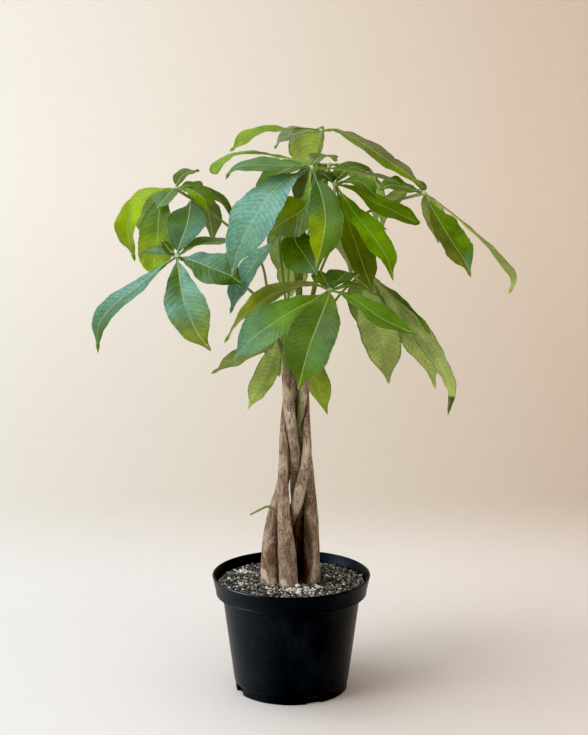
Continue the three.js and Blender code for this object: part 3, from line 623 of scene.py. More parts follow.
class MONEYTREE_OT_pot(bpy.types.Operator):
    """Moulded nursery pot with a stepped rim, a foot ring and four drain notches"""

    bl_idname = "moneytree.pot"
    bl_label = "Pot"

    SIDES = 168
    WALL = 1.6
    FLOOR = 2.2
    LIFT = 3
    PAD = 24
    FOOT_HEIGHT = 10
    DRAINS = 4
    DRAIN_WIDTH = 16.5
    DRAIN_HEIGHT = 8
    DRAIN_DEPTH = 4
    DRAIN_CORNER = 1.6
    DRAIN_AZIMUTH = 23
    CUTTER_REACH = 30
    SHARP_ANGLE = 38

    def profile(self, pot):
        """Radius and height round the wall, from the middle of the underside."""
        height, foot = pot.height / MM, pot.foot_radius / MM
        rim, body = pot.rim_radius / MM, pot.body_radius / MM
        under = height - pot.rim_depth / MM
        inner = body - self.WALL
        return [
            (0, 0), (self.PAD - 0.6, 0), (self.PAD, 0.4), (self.PAD + 1.6, self.LIFT - 0.4),
            (self.PAD + 2.2, self.LIFT), (foot - 8.4, self.LIFT), (foot - 7.7, self.LIFT - 0.4),
            (foot - 6.3, 0.4), (foot - 5.6, 0), (foot - 0.8, 0), (foot - 0.1, 0.5), (foot + 0.1, 1.4),
            (foot + 0.35, self.FOOT_HEIGHT - 1.2), (foot + 0.7, self.FOOT_HEIGHT - 0.4),
            (foot + 1.25, self.FOOT_HEIGHT + 0.1), (foot + 1.55, self.FOOT_HEIGHT + 1),
            (body - 0.15, under - 3.2), (body + 0.15, under - 1.6), (rim - 5.6, under - 0.55),
            (rim - 4.5, under - 0.25), (rim - 3.9, under + 0.3), (rim - 3.7, under + 1),
            (rim - 3.85, under + 1.7), (rim - 3.8, under + 2.6), (rim - 0.55, height - 3.0),
            (rim - 0.15, height - 1.9), (rim, height - 1.1), (rim - 0.2, height - 0.4),
            (rim - 0.8, height), (rim - 1.6, height - 0.05), (rim - 2.1, height - 0.6),
            (rim - 6 + 0.3, under + 3.6), (rim - 6.2, under + 2.8), (inner + 0.3, under + 1),
            (inner - 0.2, under - 0.4), (inner - 0.5, under - 2.6),
            (foot - 1.3, self.LIFT + self.FLOOR + 1), (foot - 2.3, self.LIFT + self.FLOOR),
            (0, self.LIFT + self.FLOOR),
        ]

    def execute(self, context):
        pot = context.scene.money_tree_pot
        profile = self.profile(pot)
        angles = np.linspace(0, 2 * math.pi, self.SIDES, endpoint=False)
        rings = profile[1:-1]
        points = [(0, 0, profile[0][1])]
        for radius, height in rings:
            points += [(radius * math.cos(a), radius * math.sin(a), height) for a in angles]
        points.append((0, 0, profile[-1][1]))
        faces = []
        last = len(points) - 1
        for column in range(self.SIDES):
            after = (column + 1) % self.SIDES
            faces.append((0, 1 + after, 1 + column))
            for ring in range(len(rings) - 1):
                low = 1 + ring * self.SIDES
                high = low + self.SIDES
                faces.append((low + column, low + after, high + after, high + column))
            top = 1 + (len(rings) - 1) * self.SIDES
            faces.append((top + column, top + after, last))
        build = Build()
        build.add(points, faces)
        made = build.piece("grow_pot", [pot_plastic(pot)], ["pot"])
        self.cut_drains(made, pot)
        made.data.set_sharp_from_angle(angle=math.radians(self.SHARP_ANGLE))
        return {"FINISHED"}

    def cut_drains(self, made, pot):
        """Takes the drain notches out of the foot."""
        foot = pot.foot_radius / MM
        corner = self.DRAIN_CORNER
        for number in range(self.DRAINS):
            turn = math.radians(self.DRAIN_AZIMUTH + 360 / self.DRAINS * number)
            inner, outer = foot - self.DRAIN_DEPTH, foot - self.DRAIN_DEPTH + self.CUTTER_REACH
            half = self.DRAIN_WIDTH / 2
            section = [(-half, -6), (half, -6), (half, self.DRAIN_HEIGHT - corner)]
            section += [
                (
                    half - corner + corner * math.cos(bend),
                    self.DRAIN_HEIGHT - corner + corner * math.sin(bend),
                )
                for bend in np.linspace(0.35, math.pi / 2, 4)
            ]
            section += [(-across, up) for across, up in reversed(section[2:])]
            rings = [
                [
                    (
                        along * math.cos(turn) - across * math.sin(turn),
                        along * math.sin(turn) + across * math.cos(turn),
                        up,
                    )
                    for across, up in section
                ]
                for along in (inner, outer)
            ]
            mesh = bpy.data.meshes.new("drain_cutter")
            points = [tuple(value * MM for value in point) for ring in rings for point in ring]
            mesh.from_pydata(points, [], ring_faces(2, len(section)))
            cutter = bpy.data.objects.new("drain_cutter", mesh)
            bpy.context.scene.collection.objects.link(cutter)
            notch = made.modifiers.new("notch", "BOOLEAN")
            notch.operation = "DIFFERENCE"
            notch.solver = "EXACT"
            notch.object = cutter
            apply_modifiers(made)
            bpy.data.objects.remove(cutter)
            bpy.data.meshes.remove(mesh)


def apply_modifiers(made):
    """Writes what the modifiers give into the mesh."""
    graph = bpy.context.evaluated_depsgraph_get()
    graph.update()
    old = made.data
    name = old.name
    new = bpy.data.meshes.new_from_object(made.evaluated_get(graph))
    made.modifiers.clear()
    made.data = new
    bpy.data.meshes.remove(old)
    new.name = name


def pot_plastic(pot):
    """Near-black moulded plastic with fine upright streaks, dust and scuffs."""
    material, tree, shader, _ = new_material("pot_plastic", pot.plastic)
    place = put(tree, "ShaderNodeTexCoord").outputs["Object"]
    streaks = noise(tree, stretched(tree, place, (1, 1, 0.05)), 420, 4, 0.7)
    clouds = noise(tree, place, 22, 4, 0.6)
    specks = put(tree, "ShaderNodeTexVoronoi", {"Vector": place, "Scale": 260}).outputs["Distance"]
    speck = ramp(tree, specks, 0.10, 0.05)
    scuffs = ramp(tree, noise(tree, stretched(tree, place, (1, 1, 0.18)), 160, 3, 0.6), 0.60, 0.78)
    dusty = maths(
        tree, "ADD", maths(tree, "MULTIPLY", ramp(tree, clouds, 0.42, 0.72), 0.35),
        maths(tree, "MULTIPLY", ramp(tree, streaks, 0.5, 0.75), 0.30),
    )
    dusty = maths(tree, "ADD", dusty, maths(tree, "MULTIPLY", scuffs, 0.35))
    dusty = maths(
        tree, "ADD", dusty,
        maths(tree, "MULTIPLY", maths(tree, "MULTIPLY", speck, ramp(tree, clouds, 0.45, 0.6)), 0.5),
        clamp=True,
    )
    color = blended(tree, dusty, rgba(pot.plastic), rgba(pot.dust))
    grain = noise(tree, place, 2400, 2, 0.5)
    normal = bumped(tree, grain, 0.00004, 0.5)
    normal = bumped(tree, streaks, 0.00006, 0.5, normal)
    set_inputs(
        tree, shader, Base_Color=color, Roughness=ramp(tree, dusty, 0, 1, 0.36, 0.60), Normal=normal,
        Specular_IOR_Level=0.11,
    )
    return material


# Soil


SOIL_TOP = 114
MOUND_HEIGHT = 2
MOUND_REACH = 38
UNEVENNESS = 0.65


def soil_height(x, y):
    """Height of the soil, in millimetres."""
    mound = MOUND_HEIGHT * np.exp(-(x**2 + y**2) / MOUND_REACH**2)
    uneven = np.sin(x * 0.37 + 1.3) * np.cos(y * 0.43) + np.sin(x * 0.91 - y * 0.77) * 0.7
    return SOIL_TOP + mound + UNEVENNESS * uneven


class MONEYTREE_OT_soil(bpy.types.Operator):
    """Potting mix: a bed with dark grit, grey pumice and white perlite strewn over it"""

    bl_idname = "moneytree.soil"
    bl_label = "Potting mix"

    COLUMNS = 120
    REACH = 77.6
    RINGS = 40
    # The bed's wall, where it lies against the pot: radius and height
    WALL = ((56.95, 5.55), (69.65, 101.5), (69.95, 104.65), (76.15, 106.85))
    ROW_SPACING = 0.866
    JITTER = 0.42
    WHITE_SHARE = 0.045
    WHITE_SHARE_IN_SPOTS = 0.36
    GRAIN_SHARP_ANGLE = 55
    # Where white grains lie thickest: x, y and reach, with how many more of them there are.
    WHITE_SPOTS = [(8, -30, 15, 0.75), (-49, 32, 9, 0.8), (24, -24, 9, 0.6), (-20, -28, 8, 0.5),
                   (48, 20, 12, 0.25), (52, -22, 12, 0.2), (-55, -8, 12, 0.25)]

    def bed(self, soil):
        """The bed of the mix, down to the floor of the pot."""
        angles = np.linspace(0, 2 * math.pi, self.COLUMNS, endpoint=False)
        rings = [
            (radius * np.cos(angles), radius * np.sin(angles), np.full(self.COLUMNS, float(height)))
            for radius, height in self.WALL
        ]
        radii = np.linspace(self.REACH - 0.6, 1.5, self.RINGS)
        for radius in radii:
            x, y = radius * np.cos(angles), radius * np.sin(angles)
            fine = 0.5 * np.sin(x * 1.7 + 0.6 * y) * np.cos(y * 1.9 - 0.4 * x)
            rings.append((x, y, soil_height(x, y) - 0.5 + fine))
        points = np.stack([np.stack(ring, axis=-1) for ring in rings])
        build = Build()
        build.add(points, ring_faces(len(rings), self.COLUMNS))
        return build.piece("soil_bed", [humus(soil)], ["soil"])

    def spots(self, draw, spacing):
        """Jittered places over the soil, clear of the stems."""
        steps = np.arange(-self.REACH, self.REACH, spacing)
        x, y = np.meshgrid(steps, steps * self.ROW_SPACING)
        x = x + (np.arange(len(steps)) % 2)[:, None] * spacing / 2
        x, y = x.ravel(), y.ravel()
        x = x + draw.uniform(-self.JITTER, self.JITTER, len(x)) * spacing
        y = y + draw.uniform(-self.JITTER, self.JITTER, len(y)) * spacing
        keep = np.hypot(x, y) < self.REACH - 1.6
        for points in STEMS.values():
            stem_x, stem_y, _, radius = points[1]
            keep &= np.hypot(x - stem_x, y - stem_y) > radius - 0.3
        return x[keep], y[keep]

    def grains(self, draw, x, y, sizes, lumps, finish_of, name, material, flat=0.75):
        """One shell for each grain, from a ball with lumps."""
        corners, triangles = ball(lumps)
        count = len(x)
        scales = draw.uniform(0.7, 1.3, (count, 3)) * np.array([1, 1, flat])
        turns = draw.normal(size=(count, 4))
        turns /= np.linalg.norm(turns, axis=1)[:, None]
        matrices = quaternion_matrices(turns)
        bulges = 1 + draw.uniform(-0.30, 0.26, (count, len(corners), 1))
        shapes = corners[None] * bulges * scales[:, None, :] * sizes[:, None, None]
        shapes = np.einsum("nij,nkj->nki", matrices, shapes)
        shapes[..., 2] *= 0.85
        middle = np.stack([x, y, soil_height(x, y) + sizes * draw.uniform(-0.1, 0.45, count)], axis=-1)
        shapes += middle[:, None, :]
        faces = (triangles[None] + (np.arange(count) * len(corners))[:, None, None]).reshape(-1, 3)
        tones = np.repeat(finish_of(count), len(corners), axis=0)
        build = Build()
        build.add(shapes, [tuple(face) for face in faces.tolist()], grain_tone=tones)
        return build.piece(name, [material], ["soil"], self.GRAIN_SHARP_ANGLE)

    def execute(self, context):
        soil = context.scene.money_tree_soil
        draw = np.random.default_rng(soil.seed)
        self.bed(soil)
        x, y = self.spots(draw, soil.grit_spacing / MM)
        near = np.zeros(len(x))
        for spot_x, spot_y, reach, more in self.WHITE_SPOTS:
            near = np.maximum(near, more * np.exp(-((x - spot_x) ** 2 + (y - spot_y) ** 2) / reach**2))
        white = draw.uniform(size=len(x)) < self.WHITE_SHARE + self.WHITE_SHARE_IN_SPOTS * near
        dark = np.array(soil.grit)
        grey = np.array(soil.pumice)

        def grit_tones(count):
            share = draw.beta(0.42, 1.0, count)[:, None]
            tones = dark + (grey - dark) * share
            tones *= draw.uniform(0.55, 1.35, (count, 1))
            tones[:, 0:1] *= draw.uniform(0.95, 1.12, (count, 1))
            return np.hstack([tones, np.ones((count, 1))])

        def white_tones(count):
            tones = np.array(soil.perlite) * draw.uniform(0.62, 1.08, (count, 1))
            return np.hstack([tones, np.ones((count, 1))])

        finish = grain_finish("grit", soil.grit)
        sizes = soil.grit_size / MM * draw.lognormal(0, 0.28, (~white).sum())
        self.grains(draw, x[~white], y[~white], sizes, 0, grit_tones, "soil_grit", finish)
        sizes = soil.perlite_size / MM * draw.lognormal(0, 0.33, white.sum())
        sizes *= 0.8 + 0.7 * near[white]
        self.grains(draw, x[white], y[white], sizes, 1, white_tones, "perlite",
                    grain_finish("perlite", soil.perlite), flat=0.8)
        return {"FINISHED"}


def ball(divisions):
    """Corners and triangles of a ball of radius 1, from an icosahedron."""
    grid = bmesh.new()
    bmesh.ops.create_icosphere(grid, subdivisions=divisions + 1, radius=1)
    corners = np.array([vertex.co[:] for vertex in grid.verts])
    triangles = np.array([[vertex.index for vertex in face.verts] for face in grid.faces])
    grid.free()
    return corners, triangles


def quaternion_matrices(turns):
    """Rotation matrices of unit quaternions."""
    w, x, y, z = turns.T
    return np.stack([
        np.stack([1 - 2 * (y * y + z * z), 2 * (x * y - w * z), 2 * (x * z + w * y)], -1),
        np.stack([2 * (x * y + w * z), 1 - 2 * (x * x + z * z), 2 * (y * z - w * x)], -1),
        np.stack([2 * (x * z - w * y), 2 * (y * z + w * x), 1 - 2 * (x * x + y * y)], -1),
    ], -2)


def humus(soil):
    """Dark crumbly mix."""
    material, tree, shader, _ = new_material("humus", soil.humus)
    place = put(tree, "ShaderNodeTexCoord").outputs["Object"]
    crumbs = noise(tree, place, 900, 4, 0.7)
    color = blended(tree, ramp(tree, crumbs, 0.35, 0.7), rgba(soil.humus), rgba(soil.grit))
    set_inputs(tree, shader, Base_Color=color, Roughness=0.95, Normal=bumped(tree, crumbs, 0.0006))
    return material


def grain_finish(name, slot_color):
    """Stone grains, each in its own tone."""
    material, tree, shader, _ = new_material(name, slot_color)
    place = put(tree, "ShaderNodeTexCoord").outputs["Object"]
    tone = put(tree, "ShaderNodeAttribute", attribute_name="grain_tone").outputs["Color"]
    pits = noise(tree, place, 1500, 3, 0.65)
    shade = ramp(tree, pits, 0.25, 0.75, 0.6, 1.25)
    color = blended(tree, 1.0, tone, grey_of(tree, shade), "MULTIPLY")
    set_inputs(tree, shader, Base_Color=color, Roughness=0.9, Normal=bumped(tree, pits, 0.0003))
    return material


# Stems


def stem_radius(points):
    """The radius at shares of a stem's length."""
    course = Course([point[:3] for point in points])
    radii = [point[3] for point in points]
    knots = np.linspace(0, 1, len(radii))
    return course, lambda shares: np.interp(course.way_at(shares), knots, radii)


class MONEYTREE_OT_stems(bpy.types.Operator):
    """Five woody stems, braided, each pressed flat where an earlier one crosses it"""

    bl_idname = "moneytree.stems"
    bl_label = "Stems"

    STEP = 2.4
    GAP = 0.35
    # Reach of the painted shade where stems lie close, and steps along each other stem.
    CREVICE = 1.5
    CREVICE_STEPS = 120
    KEEP_OFF = 1.03
    # Marks on the bark that face the front: x, z, half width, half height, tone, and how far they stand out.
    # A dark mark is painted shade, low on the back stems and on the right stem.
    MARKS = {
        "stem_right": [(19.0, 139, 2.8, 5.6, "pale", -0.4), (15, 150, 8, 45, "dark", 0),
                       (14, 254, 7, 16, "plain", 1.3), (8.5, 296, 2.6, 30, "green", 0)],
        "stem_left": [(-27, 127, 6.5, 8, "pale", 0.25), (-20, 119, 8, 5, "pale", 0.2)],
        "stem_front": [(-5, 146, 9, 9, "plain", 0.7), (-8, 120, 4, 7, "pale", 0.1)],
        "stem_back_right": [(-2, 300, 2.0, 2.6, "pale", 0.25), (9, 150, 16, 60, "dark", 0),
                            (7, 254, 5, 15, "plain", 1.2)],
        "stem_back_left": [(-8, 150, 16, 60, "dark", 0)],
    }
    # Green wood: from this height up to that one the bark gives way to it.
    GREEN = {
        "stem_left": (392, 430), "stem_front": (350, 380), "stem_back_right": (338, 356),
        "stem_back_left": (360, 395), "stem_right": (330, 350),
    }
    # Heights of the rings where leaves grow or once grew.
    RINGS = {
        "stem_left": (196, 229, 268, 305, 338, 366, 401, 424, 443),
        "stem_front": (176, 205, 238, 270, 300, 328, 351, 372),
        "stem_back_right": (170, 198, 226, 252, 281, 312, 336, 358),
        "stem_back_left": (166, 190, 222, 249, 277, 308, 342, 371, 398),
        "stem_right": (172, 201, 233, 262, 291, 325, 352, 380, 399),
    }

    def execute(self, context):
        stems = context.scene.money_tree_stems
        finish = bark_finish(stems)
        placed = []
        draw = np.random.default_rng(stems.seed)
        for turn, (name, points) in enumerate(STEMS.items()):
            self.stem(name, points, turn, placed, finish, stems, draw)
        return {"FINISHED"}

    def stem(self, name, points, turn, placed, finish, stems, draw):
        """One stem, clear of those placed before it."""
        course, radius_at = stem_radius(points)
        low, high = self.GREEN[name]
        phases = draw.uniform(0, 2 * math.pi, 6)

        def swell(angle, share):
            flutes = 1 + 0.05 * np.sin(3 * angle + turn + 5 * share)
            knots = 0.016 * np.sin(7 * angle + phases[0] + 9 * share)
            lumps = 0.022 * np.sin(2 * angle + phases[1] + 31 * share) * np.sin(47 * share + phases[2])
            return flutes + knots + lumps

        rings, angles, shares, radii = tube_rings(course, radius_at, stems.sides, self.STEP, swell)
        middles = course.at_way(course.way_at(shares))
        outward = unit(rings - middles[:, None, :])
        extra = np.zeros(rings.shape[:2])
        for height in self.RINGS[name]:
            wobble = 0.8 * np.sin(angles + phases[3] + height)
            near = np.exp(-(((rings[..., 2] - height - wobble) / 1.5) ** 2))
            extra += near * 0.035 * radii
        fine = np.sin(13 * angles[None, :] + phases[4] + 18 * np.sin(5 * shares[:, None]))
        extra += 0.014 * radii * fine * smooth_step(radii, 3.5, 6)
        tone = np.zeros((*rings.shape[:2], 4))
        green = smooth_step(rings[..., 2] + 4 * np.sin(angles * 2 + phases[5]), low, high)
        tone[..., 0] = green
        # Dark marks are painted shade; green and pale marks are the bark's own colour.
        for x, z, half_width, half_height, kind, rise in self.MARKS.get(name, ()):
            away = ((rings[..., 0] - x) / half_width) ** 2 + ((rings[..., 2] - z) / half_height) ** 2
            near = np.exp(-(away**1.5)) * (outward[..., 1] < 0.1)
            if kind != "plain":
                channel = ("green", "pale", "dark").index(kind)
                tone[..., channel] = np.maximum(tone[..., channel], near)
            extra += near * rise
        # Painted shade: the bark darkens where the stems lie close to each other.
        tone[..., 2] = np.maximum(tone[..., 2], self.painted_crevice_shade(name, rings))
        rings = rings + outward * extra[..., None]
        for other_middles, other_radii in placed:
            rings = self.pushed(rings, other_middles, other_radii)
        placed.append((middles, radius_at(shares) * self.KEEP_OFF))
        rings, tone = self.rounded_end(rings, tone, middles)
        tone[..., 3] = 1
        around = radii.mean(axis=1)[:, None]
        place = np.stack([
            np.cos(angles)[None, :] * around, np.sin(angles)[None, :] * around,
            np.repeat(shares[:, None] * course.length + 500 * turn, len(angles), axis=1),
        ], axis=-1)
        place = np.concatenate([place, place[-1:], place[-1:]]) * MM
        build = Build()
        build.add(rings, ring_faces(len(rings), len(angles)), bark_tone=tone.reshape(-1, 4),
                  bark_place=place.reshape(-1, 3))
        build.piece(name.replace("stem", "braid"), [finish], [name])

    def painted_crevice_shade(self, name, rings):
        """How close each point lies to another stem, from 0 in the open to 1 where they touch, as the share
        of painted shade there.
        """
        close = np.zeros(rings.shape[:2])
        for other, points in STEMS.items():
            if other != name:
                course, radius_at = stem_radius(points)
                shares = np.linspace(0, 1, self.CREVICE_STEPS)
                middles = course.at_way(course.way_at(shares))
                away = np.linalg.norm(rings[:, :, None, :] - middles, axis=3) - radius_at(shares)
                close = np.maximum(close, np.exp(-(np.maximum(away.min(axis=2), 0) / self.CREVICE) ** 2))
        return close

    def pushed(self, rings, middles, radii):
        """Rings moved out of another stem."""
        flat = rings.reshape(-1, 3)
        reach = np.linalg.norm(flat[:, None, :] - middles[None], axis=2)
        nearest = reach.argmin(axis=1)
        away = reach[np.arange(len(flat)), nearest]
        limit = radii[nearest] + self.GAP
        push = np.where(away < limit, limit / np.maximum(away, 1e-6), 1)
        centre = middles[nearest]
        return (centre + (flat - centre) * push[:, None]).reshape(rings.shape)

    def rounded_end(self, rings, tone, middles):
        """Two more rings, so that the top end is round."""
        end = rings[-1]
        middle = end.mean(axis=0)
        ahead = unit(middles[-1] - middles[-2])
        radius = np.linalg.norm(end - middle, axis=1).mean()
        caps = [
            middle + (end - middle) * shrink + ahead * radius * rise
            for shrink, rise in ((0.8, 0.35), (0.35, 0.6))
        ]
        return (
            np.concatenate([rings, np.array(caps)]),
            np.concatenate([tone, tone[-1:], tone[-1:]]),
        )


def bark_finish(stems):
    """Grey-brown bark: cracks along it, corky dots, pale patches, painted shade between the stems and on the
    back stems, and green ends.
    """
    material, tree, shader, _ = new_material("bark", stems.bark)
    place = put(tree, "ShaderNodeAttribute", attribute_name="bark_place").outputs["Vector"]
    marks = put(tree, "ShaderNodeAttribute", attribute_name="bark_tone").outputs["Color"]
    marks = put(tree, "ShaderNodeSeparateColor", {"Color": marks})
    # The third channel of the marks is painted shade.
    green, pale_mark, painted_shade_mark = marks.outputs[0], marks.outputs[1], marks.outputs[2]
    cracks = noise(tree, stretched(tree, place, (1, 1, 0.10)), 640, 5, 0.72, 0.5)
    patches = noise(tree, stretched(tree, place, (1, 1, 0.45)), 70, 5, 0.66, 0.8)
    mottle = noise(tree, stretched(tree, place, (1, 1, 0.35)), 420, 5, 0.7, 0.5)
    grain = noise(tree, stretched(tree, place, (1, 1, 0.45)), 1300, 4, 0.65)
    cells = put(
        tree, "ShaderNodeTexVoronoi", {"Vector": stretched(tree, place, (1, 1, 1.3)), "Scale": 190},
    )
    lot = put(tree, "ShaderNodeSeparateColor", {"Color": cells.outputs["Color"]}).outputs[0]
    chosen = ramp(tree, lot, 0.62, 0.7)
    dot = maths(tree, "MULTIPLY", ramp(tree, cells.outputs["Distance"], 0.19, 0.09), chosen)
    shade = blended(tree, ramp(tree, patches, 0.40, 0.66), rgba(stems.bark), rgba(stems.bark_pale))
    shade = blended(tree, ramp(tree, mottle, 0.49, 0.36, 0.0, 0.66), shade, rgba(stems.bark_dark))
    shade = blended(tree, ramp(tree, cracks, 0.47, 0.36, 0.0, 0.92), shade, rgba(stems.bark_dark))
    shade = blended(tree, ramp(tree, grain, 0.52, 0.66, 0.0, 0.72), shade, rgba(stems.bark_pale))
    pale_skin = tuple(min(1, value * 1.4) for value in stems.bark_pale)
    shade = blended(tree, maths(tree, "MULTIPLY", dot, 0.85), shade, rgba(pale_skin))
    ragged = maths(
        tree, "ADD", maths(tree, "MULTIPLY", mottle, 0.7), maths(tree, "MULTIPLY", patches, 0.5)
    )
    rough_edge = maths(tree, "ADD", maths(tree, "MULTIPLY", mottle, 1.5), ragged)
    worn = maths(tree, "ADD", maths(tree, "MULTIPLY", pale_mark, 0.9), rough_edge)
    torn = maths(tree, "MULTIPLY", ramp(tree, worn, 1.93, 2.06), 0.85)
    shade = blended(tree, torn, shade, rgba(pale_skin))
    # Painted shade: the dark bark colour where the stems lie close and on the dark marks, with a ragged edge.
    shaded = maths(tree, "MULTIPLY", ramp(tree, maths(tree, "ADD", painted_shade_mark, ragged), 0.95, 1.35), 0.8)
    shade = blended(tree, shaded, shade, rgba(stems.bark_dark))
    wood = blended(tree, ramp(tree, grain, 0.3, 0.7), rgba(stems.green_wood),
                   rgba([value * 1.5 for value in stems.green_wood]))
    shade = blended(tree, maths(tree, "MULTIPLY", green, 0.9), shade, wood)
    normal = bumped(tree, cracks, 0.0011, 0.8)
    normal = bumped(tree, grain, 0.0003, 0.7, normal)
    normal = bumped(tree, dot, 0.0004, 0.8, normal)
    set_inputs(
        tree, shader, Base_Color=shade, Roughness=ramp(tree, patches, 0.3, 0.7, 0.82, 0.62), Normal=normal,
        Specular_IOR_Level=0.3,
    )
    return material


class MONEYTREE_OT_side_shoot(bpy.types.Operator):
    """Thin green side shoot of the front stem, cut off bare"""

    bl_idname = "moneytree.side_shoot"
    bl_label = "Side shoot"

    RADIUS = 1.5
    SIDES = 14
    STEP = 0.9
    JOINTS = (0.22, 0.47, 0.74)

    def execute(self, context):
        course = Course(SIDE_SHOOT)

        def radius_at(shares):
            joints = sum(np.exp(-(((shares - joint) / 0.03) ** 2)) for joint in self.JOINTS)
            cut_end = 1 - 0.35 * (shares > 0.985)
            return self.RADIUS * (1 - 0.4 * shares) * (1 + 0.22 * joints) * cut_end

        rings, *_ = tube_rings(course, radius_at, self.SIDES, self.STEP)
        build = Build()
        build.add(rings, ring_faces(len(rings), self.SIDES))
        build.piece("green_twig", [twig_finish(context.scene.money_tree_stems)], ["side_shoot"])
        return {"FINISHED"}


def twig_finish(stems):
    """Green young wood with fine lines along it."""
    material, tree, shader, _ = new_material("green_twig", stems.green_wood)
    place = put(tree, "ShaderNodeTexCoord").outputs["Object"]
    lines = noise(tree, stretched(tree, place, (0.2, 1, 1)), 1400, 3, 0.6)
    light = tuple(min(1, value * 2.1) for value in stems.green_wood)
    color = blended(tree, ramp(tree, lines, 0.3, 0.7), rgba([value * 1.1 for value in stems.green_wood]),
                    rgba(light))
    set_inputs(tree, shader, Base_Color=color, Roughness=0.5, Normal=bumped(tree, lines, 0.0002))
    return material


# Leaves


